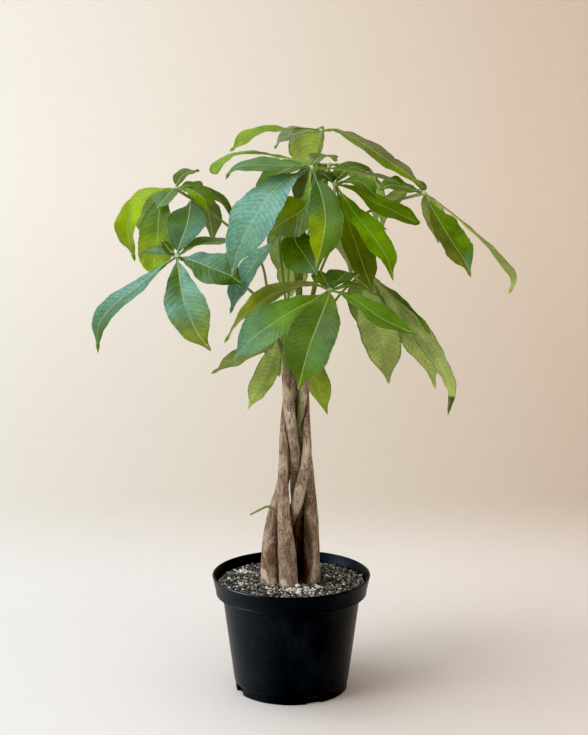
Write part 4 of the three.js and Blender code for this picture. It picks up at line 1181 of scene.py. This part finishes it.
class MONEYTREE_OT_leaves(bpy.types.Operator):
    """Twelve palmate leaves, each one piece with its petiole, hub and leaflets"""

    bl_idname = "moneytree.leaves"
    bl_label = "Leaves"

    BLADE_COLUMNS = 9
    ROWS_A_VEIN = 4
    FRAME_STEPS = 161
    START = 0.02
    FOLD = 0.16
    WAVE = 1.4
    LEAN = 0.5
    CURL = 0.22
    RIB = 0.36
    SHARP_ANGLE = 75
    PETIOLE_RADIUS = 1.5
    PETIOLE_SIDES = 14
    PETIOLE_STEP = 2.2
    KNUCKLE = np.array([2.9, 2.9, 2.6])
    YOUNG_BELOW = np.array([0.85, 0.9, 0.4])
    # Leaflets with a form of their own: how far out they are widest, depth of the fold and the waves,
    # teeth on the edge, bites out of it (side, share of the length, depth), a round tip, how dull they
    # are, how strong the painted reflection (blue-green in place of cool light reflected off the blade) is
    # on the right and the left half from base to tip, how light the underside is, how much paler it gets
    # toward the tip, and from where on the tip is turned over.
    FORMS = {
        ("leaf_left_front", 0): {"skew": 1.35, "painted_reflection": ((0.3, 0.5, 0.4, 0.1), (0.7, 0.95, 0.8, 0.3))},
        ("leaf_left_front", 1): {"fold": 0.20, "dull": 0.3,
                                 "painted_reflection": ((0.6, 1, 1, 0.9, 0.1, 0), (0, 0, 0.15, 0.9, 0.1, 0))},
        ("leaf_left_front", 2): {"dull": 0.4, "painted_reflection": ((0.4, 0.65, 0.25, 0), (0, 0, 0, 0))},
        ("leaf_left_front", 4): {"painted_reflection": ((0.1,), (0.15,))},
        ("leaf_left_front", 5): {"fold": 0.24, "dull": 0.65, "painted_reflection": ((0.2, 0, 0, 0), (0.3, 0.5, 0.25, 0))},
        ("leaf_left_front", 6): {"painted_reflection": ((0.3,), (0.3,))},
        ("leaf_left_front", 7): {"fold": 0.05, "wave": 0.4},
        ("leaf_left_back", 0): {"wave": 1.8},
        ("leaf_left_back", 1): {"wave": 2.0, "skew": 1.8, "round": True, "painted_reflection": ((0.15,), (0.1,))},
        ("leaf_left_back", 2): {"painted_reflection": ((0.25,), (0.25,))},
        ("leaf_left_back", 8): {"under": 0.5},
        ("leaf_top", 0): {"skew": 2.3, "dull": 0.4},
        ("leaf_top", 1): {"teeth": 1.0, "skew": 2.2, "painted_reflection": ((0.2,), (0.2,))},
        ("leaf_top", 3): {"fold": 0.10, "wave": 1.2, "bites": [(-1, 0.66, 3.0)]},
        ("leaf_upper_front", 0): {"skew": 1.05, "dull": 0.35, "painted_reflection": ((0.1,), (0.2,))},
        ("leaf_upper_front", 1): {"painted_reflection": ((0.5, 0.8, 0.95, 1, 0.6), (0.3, 0.7, 0.95, 1, 0.6))},
        ("leaf_upper_front", 2): {"wave": 2.4, "skew": 1.9, "painted_reflection": ((0, 0, 0, 0.4), (0, 0, 0, 0.4))},
        ("leaf_upper_front", 3): {"wave": 2.0, "dull": 0.6},
        ("leaf_upper_front", 6): {"skew": 4.2, "round": True},
        ("leaf_upper_right", 0): {"wave": 1.8, "bites": [(1, 0.80, 2.2)]},
        ("leaf_upper_right", 1): {"wave": 2.8, "skew": 1.5, "round": True, "bites": [(1, 0.975, 1.6)]},
        ("leaf_right", 2): {"fold": 0.26, "bites": [(1, 0.40, 2.4), (-1, 0.70, 1.6), (1, 0.63, 1.5)],
                            "painted_reflection": ((0, 0, 0, 0, 0, 0.7), (0,))},
        ("leaf_right", 3): {"skew": 3.0, "wave": 0.6},
        ("leaf_center", 0): {"painted_reflection": ((0.6, 0.8, 0.9, 0.8), (0.6, 0.8, 0.9, 0.8))},
        ("leaf_center", 1): {"painted_reflection": ((0.35, 0, 0, 0.6), (0, 0, 0, 0.6))},
        ("leaf_lower_front", 0): {"painted_reflection": ((0, 0, 0.1, 0.3, 0), (0, 0, 0, 0.05, 0))},
        ("leaf_lower_front", 1): {"painted_reflection": ((0, 0, 0.1, 0.5, 1), (0, 0.05, 0.2, 0.6, 1))},
        ("leaf_right_back", 1): {"paling": 1.25},
        ("leaf_right_back", 2): {"wave": 2.2, "bites": [(-1, 0.86, 2.4)], "paling": 2.0, "turned": 0.88},
        ("leaf_lower_back", 1): {"under": 1.45},
        ("leaf_lower_back", 2): {"under": 0.78},
        ("leaf_back_low", 0): {"skew": 1.8},
        ("leaf_back_high", 1): {"under": 0.45},
        ("leaf_back_high", 2): {"under": 1.9},
    }

    def execute(self, context):
        leaves = context.scene.money_tree_leaves
        finishes = [blade_finish(leaves), stalk_finish(leaves)]
        draw = np.random.default_rng(leaves.seed)
        for name, (petiole, hub, leaflets) in LEAVES.items():
            build = Build()
            self.stalk(build, petiole, hub, leaves, draw)
            for number, leaflet in enumerate(leaflets):
                form = {"skew": 1.2, "fold": self.FOLD, "wave": self.WAVE, "teeth": 0, "bites": [],
                        "round": False, "dull": draw.uniform(0, 0.2), "painted_reflection": ((0,), (0,)),
                        "under": 1, "paling": 1, "turned": 2}
                form.update(self.FORMS.get((name, number), {}))
                self.blade(build, np.array(hub, float), leaflet, form, leaves, draw)
            build.piece(name.replace("leaf", "palmate"), finishes, [name], self.SHARP_ANGLE)
        return {"FINISHED"}

    def stalk(self, build, petiole, hub, leaves, draw):
        """The petiole, swollen at both ends, and the knuckle that the leaflets grow from."""
        course = Course([*petiole, hub])

        def radius_at(shares):
            ends = np.abs(2 * shares - 1) ** 6
            foot = 0.18 * smooth_step(1 - shares, 0.97, 1)
            return self.PETIOLE_RADIUS * (1 + 0.5 * ends + foot) * (1 - 0.12 * shares)

        def groove(angle, share):
            return 1 - 0.05 * np.cos(angle) ** 8 + 0.02 * np.sin(5 * angle + 3 * share)

        rings, _, shares, _ = tube_rings(course, radius_at, self.PETIOLE_SIDES, self.PETIOLE_STEP, groove)
        foot = np.array(leaves.petiole_foot)
        long_way = np.array(leaves.petiole) * draw.uniform(0.75, 1.2)
        rib = np.array(leaves.rib) * 0.8
        down = 1 - smooth_step(shares, 0.02, 0.28)
        up = smooth_step(shares, 0.86, 1)
        tones = (
            long_way[None] * (1 - down - up)[:, None] + foot[None] * down[:, None] + rib[None] * up[:, None]
        )
        tones = np.hstack([tones, np.ones((len(tones), 1))]).repeat(rings.shape[1], axis=0)
        nowhere = np.array([0.5, 9, 0.5, 0])
        build.add(rings, ring_faces(len(rings), rings.shape[1]), 1, leaf_tone=tones, vein_place=nowhere)
        corners, triangles = ball(2)
        bulge = 1 + 0.07 * np.sin(corners[:, 0:1] * 5 + draw.uniform(0, 6)) * np.cos(corners[:, 1:2] * 6)
        knuckle = corners * bulge * self.KNUCKLE + np.array(hub)
        build.add(knuckle, [tuple(face) for face in triangles.tolist()], 1,
                  leaf_tone=np.array([*rib, 1]), vein_place=nowhere)

    def outline(self, share, form):
        """Half the width at a share of the length, as a share of the widest."""
        along = np.maximum(0, (share - 0.05) / 0.95)
        body = np.maximum(0, np.sin(math.pi * np.minimum(along, 1) ** form["skew"]))
        if form["round"]:
            return body**0.62
        return body**0.95 * (1 - 0.45 * smooth_step(along, 0.78, 0.96))

    def half_at(self, share, width, form):
        """Half the width in millimetres, never less than the stalk or the tip."""
        stalk = 1.3 * (1 - 0.6 * share) * (1 - 0.6 * smooth_step(share, 0.9, 1))
        return np.maximum(width / 2 * self.outline(share, form), stalk)

    def columns_at(self, half):
        """Distances from the midrib: three close to it, and the others spread to the edge."""
        half = np.asarray(half, float)
        rib = np.minimum(self.RIB, 0.3 * half)
        near = [0 * half, 0.75 * rib, 1.8 * rib]
        rest = self.BLADE_COLUMNS - 2
        far = [near[2] + (half - near[2]) * (step / rest) ** 0.93 for step in range(1, rest + 1)]
        return np.stack(near + far, axis=-1), rib

    def blade(self, build, hub, leaflet, form, leaves, draw):
        """A closed thin leaflet whose rows follow its side veins."""
        tone, width, face, *midrib = leaflet
        # The right and left halves may take different tones: partly painted light and shade on the two
        # halves.
        tone_right, _, tone_left = tone.partition("+")
        course = Course([(0, 0, 0), *midrib])
        length = course.length
        shares, middles, normals, sides = course.frames(self.FRAME_STEPS, face)
        veins = max(6, round(length / (leaves.vein_pitch / MM)))
        rows = self.ROWS_A_VEIN * veins
        row_share = np.linspace(self.START, 1, rows + 1)
        phase = np.arange(rows + 1) / self.ROWS_A_VEIN
        row_half = self.half_at(row_share, width, form)
        row_columns, _ = self.columns_at(row_half)
        spread = row_columns / row_half[:, None]
        lean = (self.LEAN * spread + self.CURL * spread**3) * row_half[:, None] / length
        share = np.minimum(row_share[:, None] + lean, 1)
        half = self.half_at(share, width, form)
        half = np.where(row_half[:, None] > 2.2, half, row_half[:, None])
        waves = draw.uniform(1.6, 3.1)
        fold = form["fold"] * draw.uniform(0.75, 1.35)
        surfaces = []
        for way in (-1, 1):
            edge = half * draw.uniform(0.95, 1.04) * self.edge(share, form, way, draw)
            surfaces.append(self.half_blade(share, edge, phase, veins, way, waves, fold, form, leaves, draw))
        rings, places, below = self.ringed(surfaces)
        at = np.clip(rings[..., 2], 0, 1)
        points = (
            hub
            + looked_up(at, shares, middles)
            + looked_up(at, shares, sides) * rings[..., 0:1]
            + looked_up(at, shares, normals) * rings[..., 1:2]
        )
        shift = draw.uniform(0.9, 1.12) * np.array([draw.uniform(0.92, 1.1), 1, draw.uniform(0.8, 1.3)])
        right = self.tone_at(leaves, tone_right, rings[..., 2:3])
        left = self.tone_at(leaves, tone_left or tone_right, rings[..., 2:3])
        ageing = 1 + 0.16 * np.sin(5 * rings[..., 2:3] + draw.uniform(0, 2 * math.pi))
        over = np.where(rings[..., 0:1] > 0, left, right) * ageing * shift
        brightness = over.mean(axis=(0, 1)).sum() / np.sum(leaves.fresh)
        under = np.array(leaves.underside) * (0.55 + 0.45 * brightness)
        if tone.startswith("young"):
            under = under * self.YOUNG_BELOW
        under = form["under"] * under * (1 + (form["paling"] - 1) * smooth_step(rings[..., 2:3], 0.3, 1))
        turned = smooth_step(rings[..., 2:3], form["turned"], form["turned"] + 0.01)
        under = under + (over - under) * turned
        tones = np.where(below[..., None] > 0.5, under, over)
        # Painted reflection: levels of blue-green in place of cool light reflected off the upper side.
        painted_reflection_right, painted_reflection_left = (
            np.interp(at, np.linspace(0.1, 0.9, len(levels)), levels) for levels in form["painted_reflection"]
        )
        painted_reflection = np.where(rings[..., 0] > 0, painted_reflection_left, painted_reflection_right) * (1 - below)
        below = below * (1 - turned[..., 0])
        tones = np.concatenate([tones, np.maximum(below, form["dull"])[..., None]], axis=-1)
        # The painted reflection rides along as the fourth value of the vein places.
        places = np.concatenate([places, painted_reflection[..., None]], axis=-1)
        build.add(points, ring_faces(rings.shape[0], rings.shape[1]), 0, leaf_tone=tones.reshape(-1, 4),
                  vein_place=places.reshape(-1, 4))

    def edge(self, share, form, way, draw):
        """How much wider or narrower the edge runs, with its teeth and bites."""
        slow, quick = draw.uniform(0, 2 * math.pi, 2)
        run = 1 + 0.035 * np.sin(14 * share + slow) + 0.02 * np.sin(37 * share + quick)
        run = run - 0.05 * form["teeth"] * (0.5 + 0.5 * np.sin(95 * share)) ** 2
        for side, place, depth in form["bites"]:
            if side == way:
                run = run - 0.06 * depth * np.exp(-(((share - place) / 0.022) ** 2))
        return run

    def tone_at(self, leaves, tone, share):
        """The colour of a tone, or of one that turns into another from base to tip."""
        base, _, tip = tone.partition(">")
        turned = smooth_step(share, 0.35, 0.85)
        first, last = np.array(getattr(leaves, base)), np.array(getattr(leaves, tip or base))
        return first + (last - first) * turned

    def half_blade(self, share, half, phase, veins, way, waves, fold_depth, form, leaves, draw):
        """Across, top height, bottom height, share and places of one half, from midrib to edge."""
        across, rib = self.columns_at(half[:, -1])
        scale = half / half[:, -1:]
        across = across * scale
        rib = rib[:, None]
        spread = np.clip(across / half, 0, 1)
        open_share = np.clip((half - 1.8) / 6, 0, 1)
        furrow = 0.5 + 0.5 * np.cos(2 * math.pi * phase)[:, None]
        reach = smooth_step(spread, 0.03, 0.22) * (1 - 0.75 * smooth_step(spread, 0.82, 1))
        wave_start, ripple_start, cup_start = draw.uniform(0, 2 * math.pi, 3)
        size = min(1, half[:, -1].max() / 18)
        fold = half * fold_depth * (np.sqrt(spread**2 + 0.006) - math.sqrt(0.006))
        arch = 0.05 * half * np.sin(math.pi * spread)
        wave = form["wave"] * size * np.sin(2 * math.pi * waves * share + wave_start) * spread**1.3
        cup = 0.35 * size * np.sin(2 * math.pi * 1.7 * waves * share + cup_start) * np.sin(math.pi * spread)
        ripple = 0.4 * size * np.sin(2 * math.pi * veins / 3.1 * share + ripple_start) * spread**4
        pleat = -(leaves.pleat / MM) * furrow**2 * reach
        lift = open_share * (fold + arch + wave + cup + ripple + pleat)
        flat = leaves.thickness / MM * (1 - spread**8)
        round_stalk = 1.75 * half * np.sqrt(np.maximum(0, 1 - spread**2))
        thick = round_stalk + (flat - round_stalk) * smooth_step(open_share, 0, 0.35)
        ridge = 0.2 * np.exp(-((across / rib) ** 2)) * open_share
        keel = 0.75 * (1 - 0.8 * share) * np.exp(-((across / (1.15 * rib)) ** 2)) * open_share
        scallop = 1 + 0.012 * np.cos(2 * math.pi * phase + math.pi)[:, None] * spread**3 * open_share
        place = np.stack([np.broadcast_to(phase[:, None], across.shape), across / rib, spread], axis=-1)
        return (
            way * across * scallop, lift + thick / 2 + ridge, lift - thick / 2 - keel, share, place
        )

    def ringed(self, surfaces):
        """Rings of across, height and share: over the top from edge to edge, then back below."""
        left, left_top, left_low, share, left_place = surfaces[0]
        right, right_top, right_low, _, right_place = surfaces[1]
        inner = slice(1, None)
        under = slice(1, -1)
        edge_left = (left_top + left_low) / 2
        edge_right = (right_top + right_low) / 2
        left_top = np.concatenate([left_top[:, :-1], edge_left[:, -1:]], axis=1)
        right_top = np.concatenate([right_top[:, :-1], edge_right[:, -1:]], axis=1)

        def joined(left_over, right_over, right_below, left_below):
            over = [left_over[:, ::-1], right_over[:, inner]]
            below = [right_below[:, under][:, ::-1], left_below[:, :-1]]
            return np.concatenate(over + below, axis=1)

        across = joined(left, right, right, left)
        height = joined(left_top, right_top, right_low, left_low)
        shares = joined(share, share, share, share)
        place = joined(left_place, right_place, right_place, left_place)
        below = np.zeros(across.shape)
        top_count = 2 * left.shape[1] - 1
        below[:, top_count:] = 1
        return np.stack([across, height, shares], axis=-1), place, below


def blade_finish(leaves):
    """Leaf blade: side veins, pale midrib, net of veins, painted blue-green reflection; glossy above, dull
    below.
    """
    material, tree, shader, output = new_material("leaf_blade", leaves.full)
    place = put(tree, "ShaderNodeTexCoord").outputs["Object"]
    tone = put(tree, "ShaderNodeAttribute", attribute_name="leaf_tone")
    vein = put(tree, "ShaderNodeAttribute", attribute_name="vein_place")
    # Painted reflection: the share of blue-green in place of cool light reflected off the blade.
    painted_reflection = vein.outputs["Alpha"]
    phase, rib_away, spread = put(tree, "ShaderNodeSeparateXYZ", {"Vector": vein.outputs["Vector"]}).outputs
    dull = tone.outputs["Alpha"]
    below = ramp(tree, dull, 0.8, 0.95)
    from_vein = maths(tree, "PINGPONG", phase, 0.5)
    clouds = noise(tree, place, 38, 4, 0.6)
    fine = noise(tree, place, 700, 3, 0.6)
    net = put(
        tree, "ShaderNodeTexVoronoi", {"Vector": place, "Scale": 620}, feature="DISTANCE_TO_EDGE"
    ).outputs["Distance"]
    net_line = ramp(tree, net, 0.09, 0.0)
    inside = ramp(tree, spread, 0.95, 0.75)
    side_vein = maths(tree, "MULTIPLY", ramp(tree, from_vein, 0.10, 0.02), inside)
    rib = ramp(tree, rib_away, 1.45, 0.7)
    shade = ramp(tree, clouds, 0.3, 0.7, 0.76, 1.22)
    shade = maths(tree, "MULTIPLY", shade, ramp(tree, from_vein, 0.0, 0.5, 0.92, 1.05))
    shade = maths(tree, "MULTIPLY", shade, ramp(tree, fine, 0.3, 0.7, 0.93, 1.07))
    color = blended(tree, 1.0, tone.outputs["Color"], grey_of(tree, shade), "MULTIPLY")
    color = blended(tree, maths(tree, "MULTIPLY", net_line, 0.10), color, rgba(leaves.rib))
    line = ramp(tree, below, 0, 1, 0.15, 0.12)
    color = blended(tree, maths(tree, "MULTIPLY", side_vein, line), color, rgba(leaves.rib))
    color = blended(tree, maths(tree, "MULTIPLY", rib, 0.78), color, rgba(leaves.rib))
    edge = ramp(tree, spread, 0.965, 1.0, 0.0, 0.35)
    color = blended(tree, edge, color, rgba(leaves.rib))
    patches = noise(tree, place, 260, 5, 0.72)
    # Mixes in the painted reflection, weaker on the side veins and the midrib, and broken into patches.
    cast = maths(tree, "MULTIPLY", painted_reflection, ramp(tree, from_vein, 0.0, 0.16, 0.42, 0.95))
    cast = maths(tree, "MULTIPLY", cast, ramp(tree, patches, 0.38, 0.60, 0.50, 1.10))
    cast = maths(tree, "MULTIPLY", cast, ramp(tree, rib, 0, 1, 1.0, 0.35), clamp=True)
    with_painted_reflection = blended(tree, cast, color, rgba(leaves.painted_reflection))
    normal = bumped(tree, net, 0.00022, 0.35)
    normal = bumped(tree, fine, 0.00012, 0.4, normal)
    sunk = ramp(tree, from_vein, 0.0, 0.13)
    normal = bumped(tree, sunk, 0.00028, 0.45, normal)
    rough = ramp(tree, dull, 0, 1, 0.34, 0.70)
    rough = maths(tree, "ADD", rough, ramp(tree, clouds, 0.3, 0.7, -0.05, 0.06))
    set_inputs(tree, shader, Base_Color=with_painted_reflection, Roughness=rough, Normal=normal, Specular_IOR_Level=0.17)
    through = blended(tree, 1.0, color, (2.1, 1.75, 0.55, 1), "MULTIPLY")
    glow = put(tree, "ShaderNodeBsdfTranslucent", {"Color": through, "Normal": normal})
    mixed = put(tree, "ShaderNodeMixShader", {0: 0.42, 1: shader.outputs[0], 2: glow.outputs[0]})
    tree.links.new(mixed.outputs[0], output.inputs[0])
    return material


def stalk_finish(leaves):
    """Petioles and hubs: smooth green skin with fine lines."""
    material, tree, shader, _ = new_material("leaf_stalk", leaves.petiole)
    place = put(tree, "ShaderNodeTexCoord").outputs["Object"]
    tone = put(tree, "ShaderNodeAttribute", attribute_name="leaf_tone").outputs["Color"]
    flecks = noise(tree, place, 900, 3, 0.6)
    shade = ramp(tree, flecks, 0.3, 0.7, 0.82, 1.15)
    color = blended(tree, 1.0, tone, grey_of(tree, shade), "MULTIPLY")
    set_inputs(tree, shader, Base_Color=color, Roughness=0.58, Normal=bumped(tree, flecks, 0.0002, 0.6),
               Specular_IOR_Level=0.25)
    return material


# Stage


class MONEYTREE_OT_stage(bpy.types.Operator):
    """Paper sweep, soft lights and camera"""

    bl_idname = "moneytree.stage"
    bl_label = "Stage"

    SENSOR_WIDTH = 36
    WORLD_COLOR = (1.0, 0.875, 0.725, 1)
    WORLD_STRENGTH = 0.56
    BLACK_LEVEL = 0.008
    # The sheet of paper, in metres: half its width, where it bends, how round, and its top
    HALF_WIDTH = 3.2
    BEND_START = 0.20
    BEND_RADIUS = 0.75
    TOP = 2.6

    # Lights: name, place, target, width and depth, colour, power in watts, and what they fall on.
    # "matt" falls on every piece. It and "leaves" give matt light alone, and the others gloss alone.
    LIGHTS = [
        ("overhead_panel", (-0.75, -0.15, 2.1), (0, 0, 0.42), (1.4, 1.4), (0.90, 0.97, 1.0), 30, "matt"),
        ("overhead_gloss", (-0.75, -0.15, 2.1), (0, 0, 0.42), (1.4, 1.4), (0.92, 0.98, 1.0), 40, "others"),
        ("overhead_sheen", (-0.60, -0.1, 2.1), (-0.1, 0, 0.45), (1.9, 1.3), (0.50, 0.84, 1.0), 108,
         "left leaves"),
        ("side_sheen", (-1.9, 0.60, 1.45), (-0.1, 0, 0.45), (1.4, 1.4), (0.45, 0.82, 1.0), 22, "left leaves"),
        ("window", (-2.1, -1.5, 1.5), (0, 0, 0.3), (1.4, 1.4), (1.0, 0.95, 0.88), 32, "matt"),
        ("front_fill", (1.3, -2.6, 1.0), (0, 0, 0.3), (1.5, 1.5), (1.0, 0.94, 0.84), 6, "matt"),
        ("leaf_fill", (1.4, -2.4, 0.8), (0, 0, 0.4), (1.5, 1.5), (1.0, 0.97, 0.86), 20, "leaves"),
        ("pot_gloss", (-1.5, -0.35, 0.22), (0, 0, 0.06), (0.8, 0.35), (0.55, 0.78, 1.0), 110, "pot"),
    ]
    # The pieces of each group that a light can fall on.
    LIT = {
        "left leaves": ("palmate_left_front", "palmate_upper_front", "palmate_center"),
        "leaves": tuple(name.replace("leaf", "palmate") for name in LEAVES),
        "pot": ("grow_pot",),
        "others": ("grow_pot", "soil_bed", "soil_grit", "perlite", "green_twig",
                   *(name.replace("stem", "braid") for name in STEMS),
                   "palmate_left_back", "palmate_top", "palmate_upper_right", "palmate_right",
                   "palmate_lower_front", "palmate_right_back", "palmate_lower_back", "palmate_back_low",
                   "palmate_back_high"),
    }

    def execute(self, context):
        stage = context.scene.money_tree_stage
        camera_data = bpy.data.cameras.new("camera")
        camera_data.sensor_width = self.SENSOR_WIDTH
        camera_data.sensor_fit = "AUTO"
        camera_data.lens = stage.lens
        camera = bpy.data.objects.new("camera", camera_data)
        camera.location = (stage.camera_offset, -stage.camera_distance, stage.camera_height)
        camera.rotation_euler = (math.pi / 2 - stage.pitch, 0, 0)
        context.scene.collection.objects.link(camera)
        context.scene.camera = camera
        self.sweep(context, stage)
        lit = {}
        for group, names in self.LIT.items():
            lit[group] = bpy.data.collections.new(f"lit {group}")
            for name in names:
                lit[group].objects.link(bpy.data.objects[name])
        for name, place, target, size, color, power, seen_by in self.LIGHTS:
            lamp = bpy.data.lights.new(name, "AREA")
            lamp.shape = "RECTANGLE"
            lamp.size, lamp.size_y = size
            lamp.color = color
            lamp.energy = power
            light = bpy.data.objects.new(name, lamp)
            light.location = place
            away = Vector(place) - Vector(target)
            light.rotation_euler = away.to_track_quat("Z", "Y").to_euler()
            matt = seen_by in ("matt", "leaves")
            light.visible_diffuse = light.visible_transmission = matt
            light.visible_glossy = not matt
            if seen_by in lit:
                light.light_linking.receiver_collection = lit[seen_by]
            context.scene.collection.objects.link(light)
        world = bpy.data.worlds.new("studio")
        world.use_nodes = True
        background = world.node_tree.nodes["Background"]
        background.inputs["Color"].default_value = self.WORLD_COLOR
        background.inputs["Strength"].default_value = self.WORLD_STRENGTH
        world.cycles_visibility.glossy = False
        context.scene.world = world
        view = context.scene.view_settings
        view.view_transform = "Standard"
        view.use_curve_mapping = True
        view.curve_mapping.black_level = (self.BLACK_LEVEL,) * 3
        view.curve_mapping.update()
        return {"FINISHED"}

    def sweep(self, context, stage):
        """Floor and backdrop in one sheet of paper that curves up behind the pot."""
        bend = self.BEND_RADIUS
        profile = [(-self.HALF_WIDTH, 0), (-1.6, 0), (-0.4, 0), (0, 0)]
        profile += [
            (self.BEND_START + bend * math.sin(turn), bend * (1 - math.cos(turn)))
            for turn in np.linspace(0, math.pi / 2, 25)
        ]
        profile += [(self.BEND_START + bend, self.TOP)]
        across = np.linspace(-self.HALF_WIDTH, self.HALF_WIDTH, 17)
        points = [(x, y, z) for y, z in profile for x in across]
        columns = len(across)
        faces = [
            (row * columns + column, row * columns + column + 1, (row + 1) * columns + column + 1,
             (row + 1) * columns + column)
            for row in range(len(profile) - 1)
            for column in range(columns - 1)
        ]
        mesh = bpy.data.meshes.new("paper_sweep")
        mesh.from_pydata(points, [], faces)
        mesh.shade_smooth()
        mesh.materials.append(paper_finish(stage))
        floor = bpy.data.objects.new("paper_sweep", mesh)
        context.scene.collection.objects.link(floor)


def paper_finish(stage):
    """Matt paper, clear from behind, with painted light: the backdrop darker and the floor lighter to the
    right, both warmer there, and painted shade low in its bend.
    """
    material, tree, shader, output = new_material("paper", stage.paper)
    place = put(tree, "ShaderNodeTexCoord").outputs["Object"]
    split = put(tree, "ShaderNodeSeparateXYZ", {"Vector": place})
    # Painted light from left to right, in place of how the lamps fall on the paper.
    painted_light_rightward = ramp(tree, split.outputs[0], -0.65, 0.75)
    wall = blended(tree, painted_light_rightward, rgba(stage.paper), rgba(stage.paper_right))
    floor = blended(tree, painted_light_rightward, rgba(stage.paper_floor), rgba(stage.paper_floor_right))
    color = blended(tree, ramp(tree, split.outputs[2], 0.0, 0.07), floor, wall)
    # Painted shade low in the bend.
    painted_bend_shade = ramp(tree, split.outputs[2], 0.04, 0.45, 0.87, 1.0)
    color = blended(tree, 1.0, color, grey_of(tree, painted_bend_shade), "MULTIPLY")
    fibre = noise(tree, place, 60, 4, 0.6)
    shade = ramp(tree, fibre, 0.2, 0.8, 0.99, 1.01)
    color = blended(tree, 1.0, color, grey_of(tree, shade), "MULTIPLY")
    set_inputs(tree, shader, Base_Color=color, Roughness=0.9, Specular_IOR_Level=0.1)
    clear = put(tree, "ShaderNodeBsdfTransparent")
    back = put(tree, "ShaderNodeNewGeometry").outputs["Backfacing"]
    mixed = put(tree, "ShaderNodeMixShader", {0: back, 1: shader.outputs[0], 2: clear.outputs[0]})
    tree.links.new(mixed.outputs[0], output.inputs[0])
    return material


# Panel and registration

SETTINGS = {
    "money_tree_pot": PotSettings,
    "money_tree_soil": SoilSettings,
    "money_tree_stems": StemSettings,
    "money_tree_leaves": LeafSettings,
    "money_tree_stage": StageSettings,
}

OPERATORS = [
    MONEYTREE_OT_pot, MONEYTREE_OT_soil, MONEYTREE_OT_stems, MONEYTREE_OT_side_shoot, MONEYTREE_OT_leaves,
    MONEYTREE_OT_stage,
]


class MONEYTREE_PT_pieces(bpy.types.Panel):
    """Lists the pieces of the plant and their settings"""

    bl_label = "Money tree"
    bl_idname = "MONEYTREE_PT_pieces"
    bl_space_type = "VIEW_3D"
    bl_region_type = "UI"
    bl_category = "Money tree"

    def draw(self, context):
        for operator in OPERATORS:
            self.layout.operator(operator.bl_idname, text=operator.bl_label)
        for name, group in SETTINGS.items():
            box = self.layout.box()
            box.label(text=group.__doc__)
            for setting in group.__annotations__:
                box.prop(getattr(context.scene, name), setting)


def register():
    """Adds the settings, operators and panel."""
    for name, group in SETTINGS.items():
        bpy.utils.register_class(group)
        setattr(bpy.types.Scene, name, PointerProperty(type=group))
    for operator in OPERATORS:
        bpy.utils.register_class(operator)
    bpy.utils.register_class(MONEYTREE_PT_pieces)


def unregister():
    """Takes them away again."""
    bpy.utils.unregister_class(MONEYTREE_PT_pieces)
    for operator in reversed(OPERATORS):
        bpy.utils.unregister_class(operator)
    for name, group in SETTINGS.items():
        delattr(bpy.types.Scene, name)
        bpy.utils.unregister_class(group)


def main():
    """Builds the whole scene."""
    register()
    bpy.ops.moneytree.pot()
    bpy.ops.moneytree.soil()
    bpy.ops.moneytree.stems()
    bpy.ops.moneytree.side_shoot()
    bpy.ops.moneytree.leaves()
    bpy.ops.moneytree.stage()


if __name__ == "__main__":
    main()
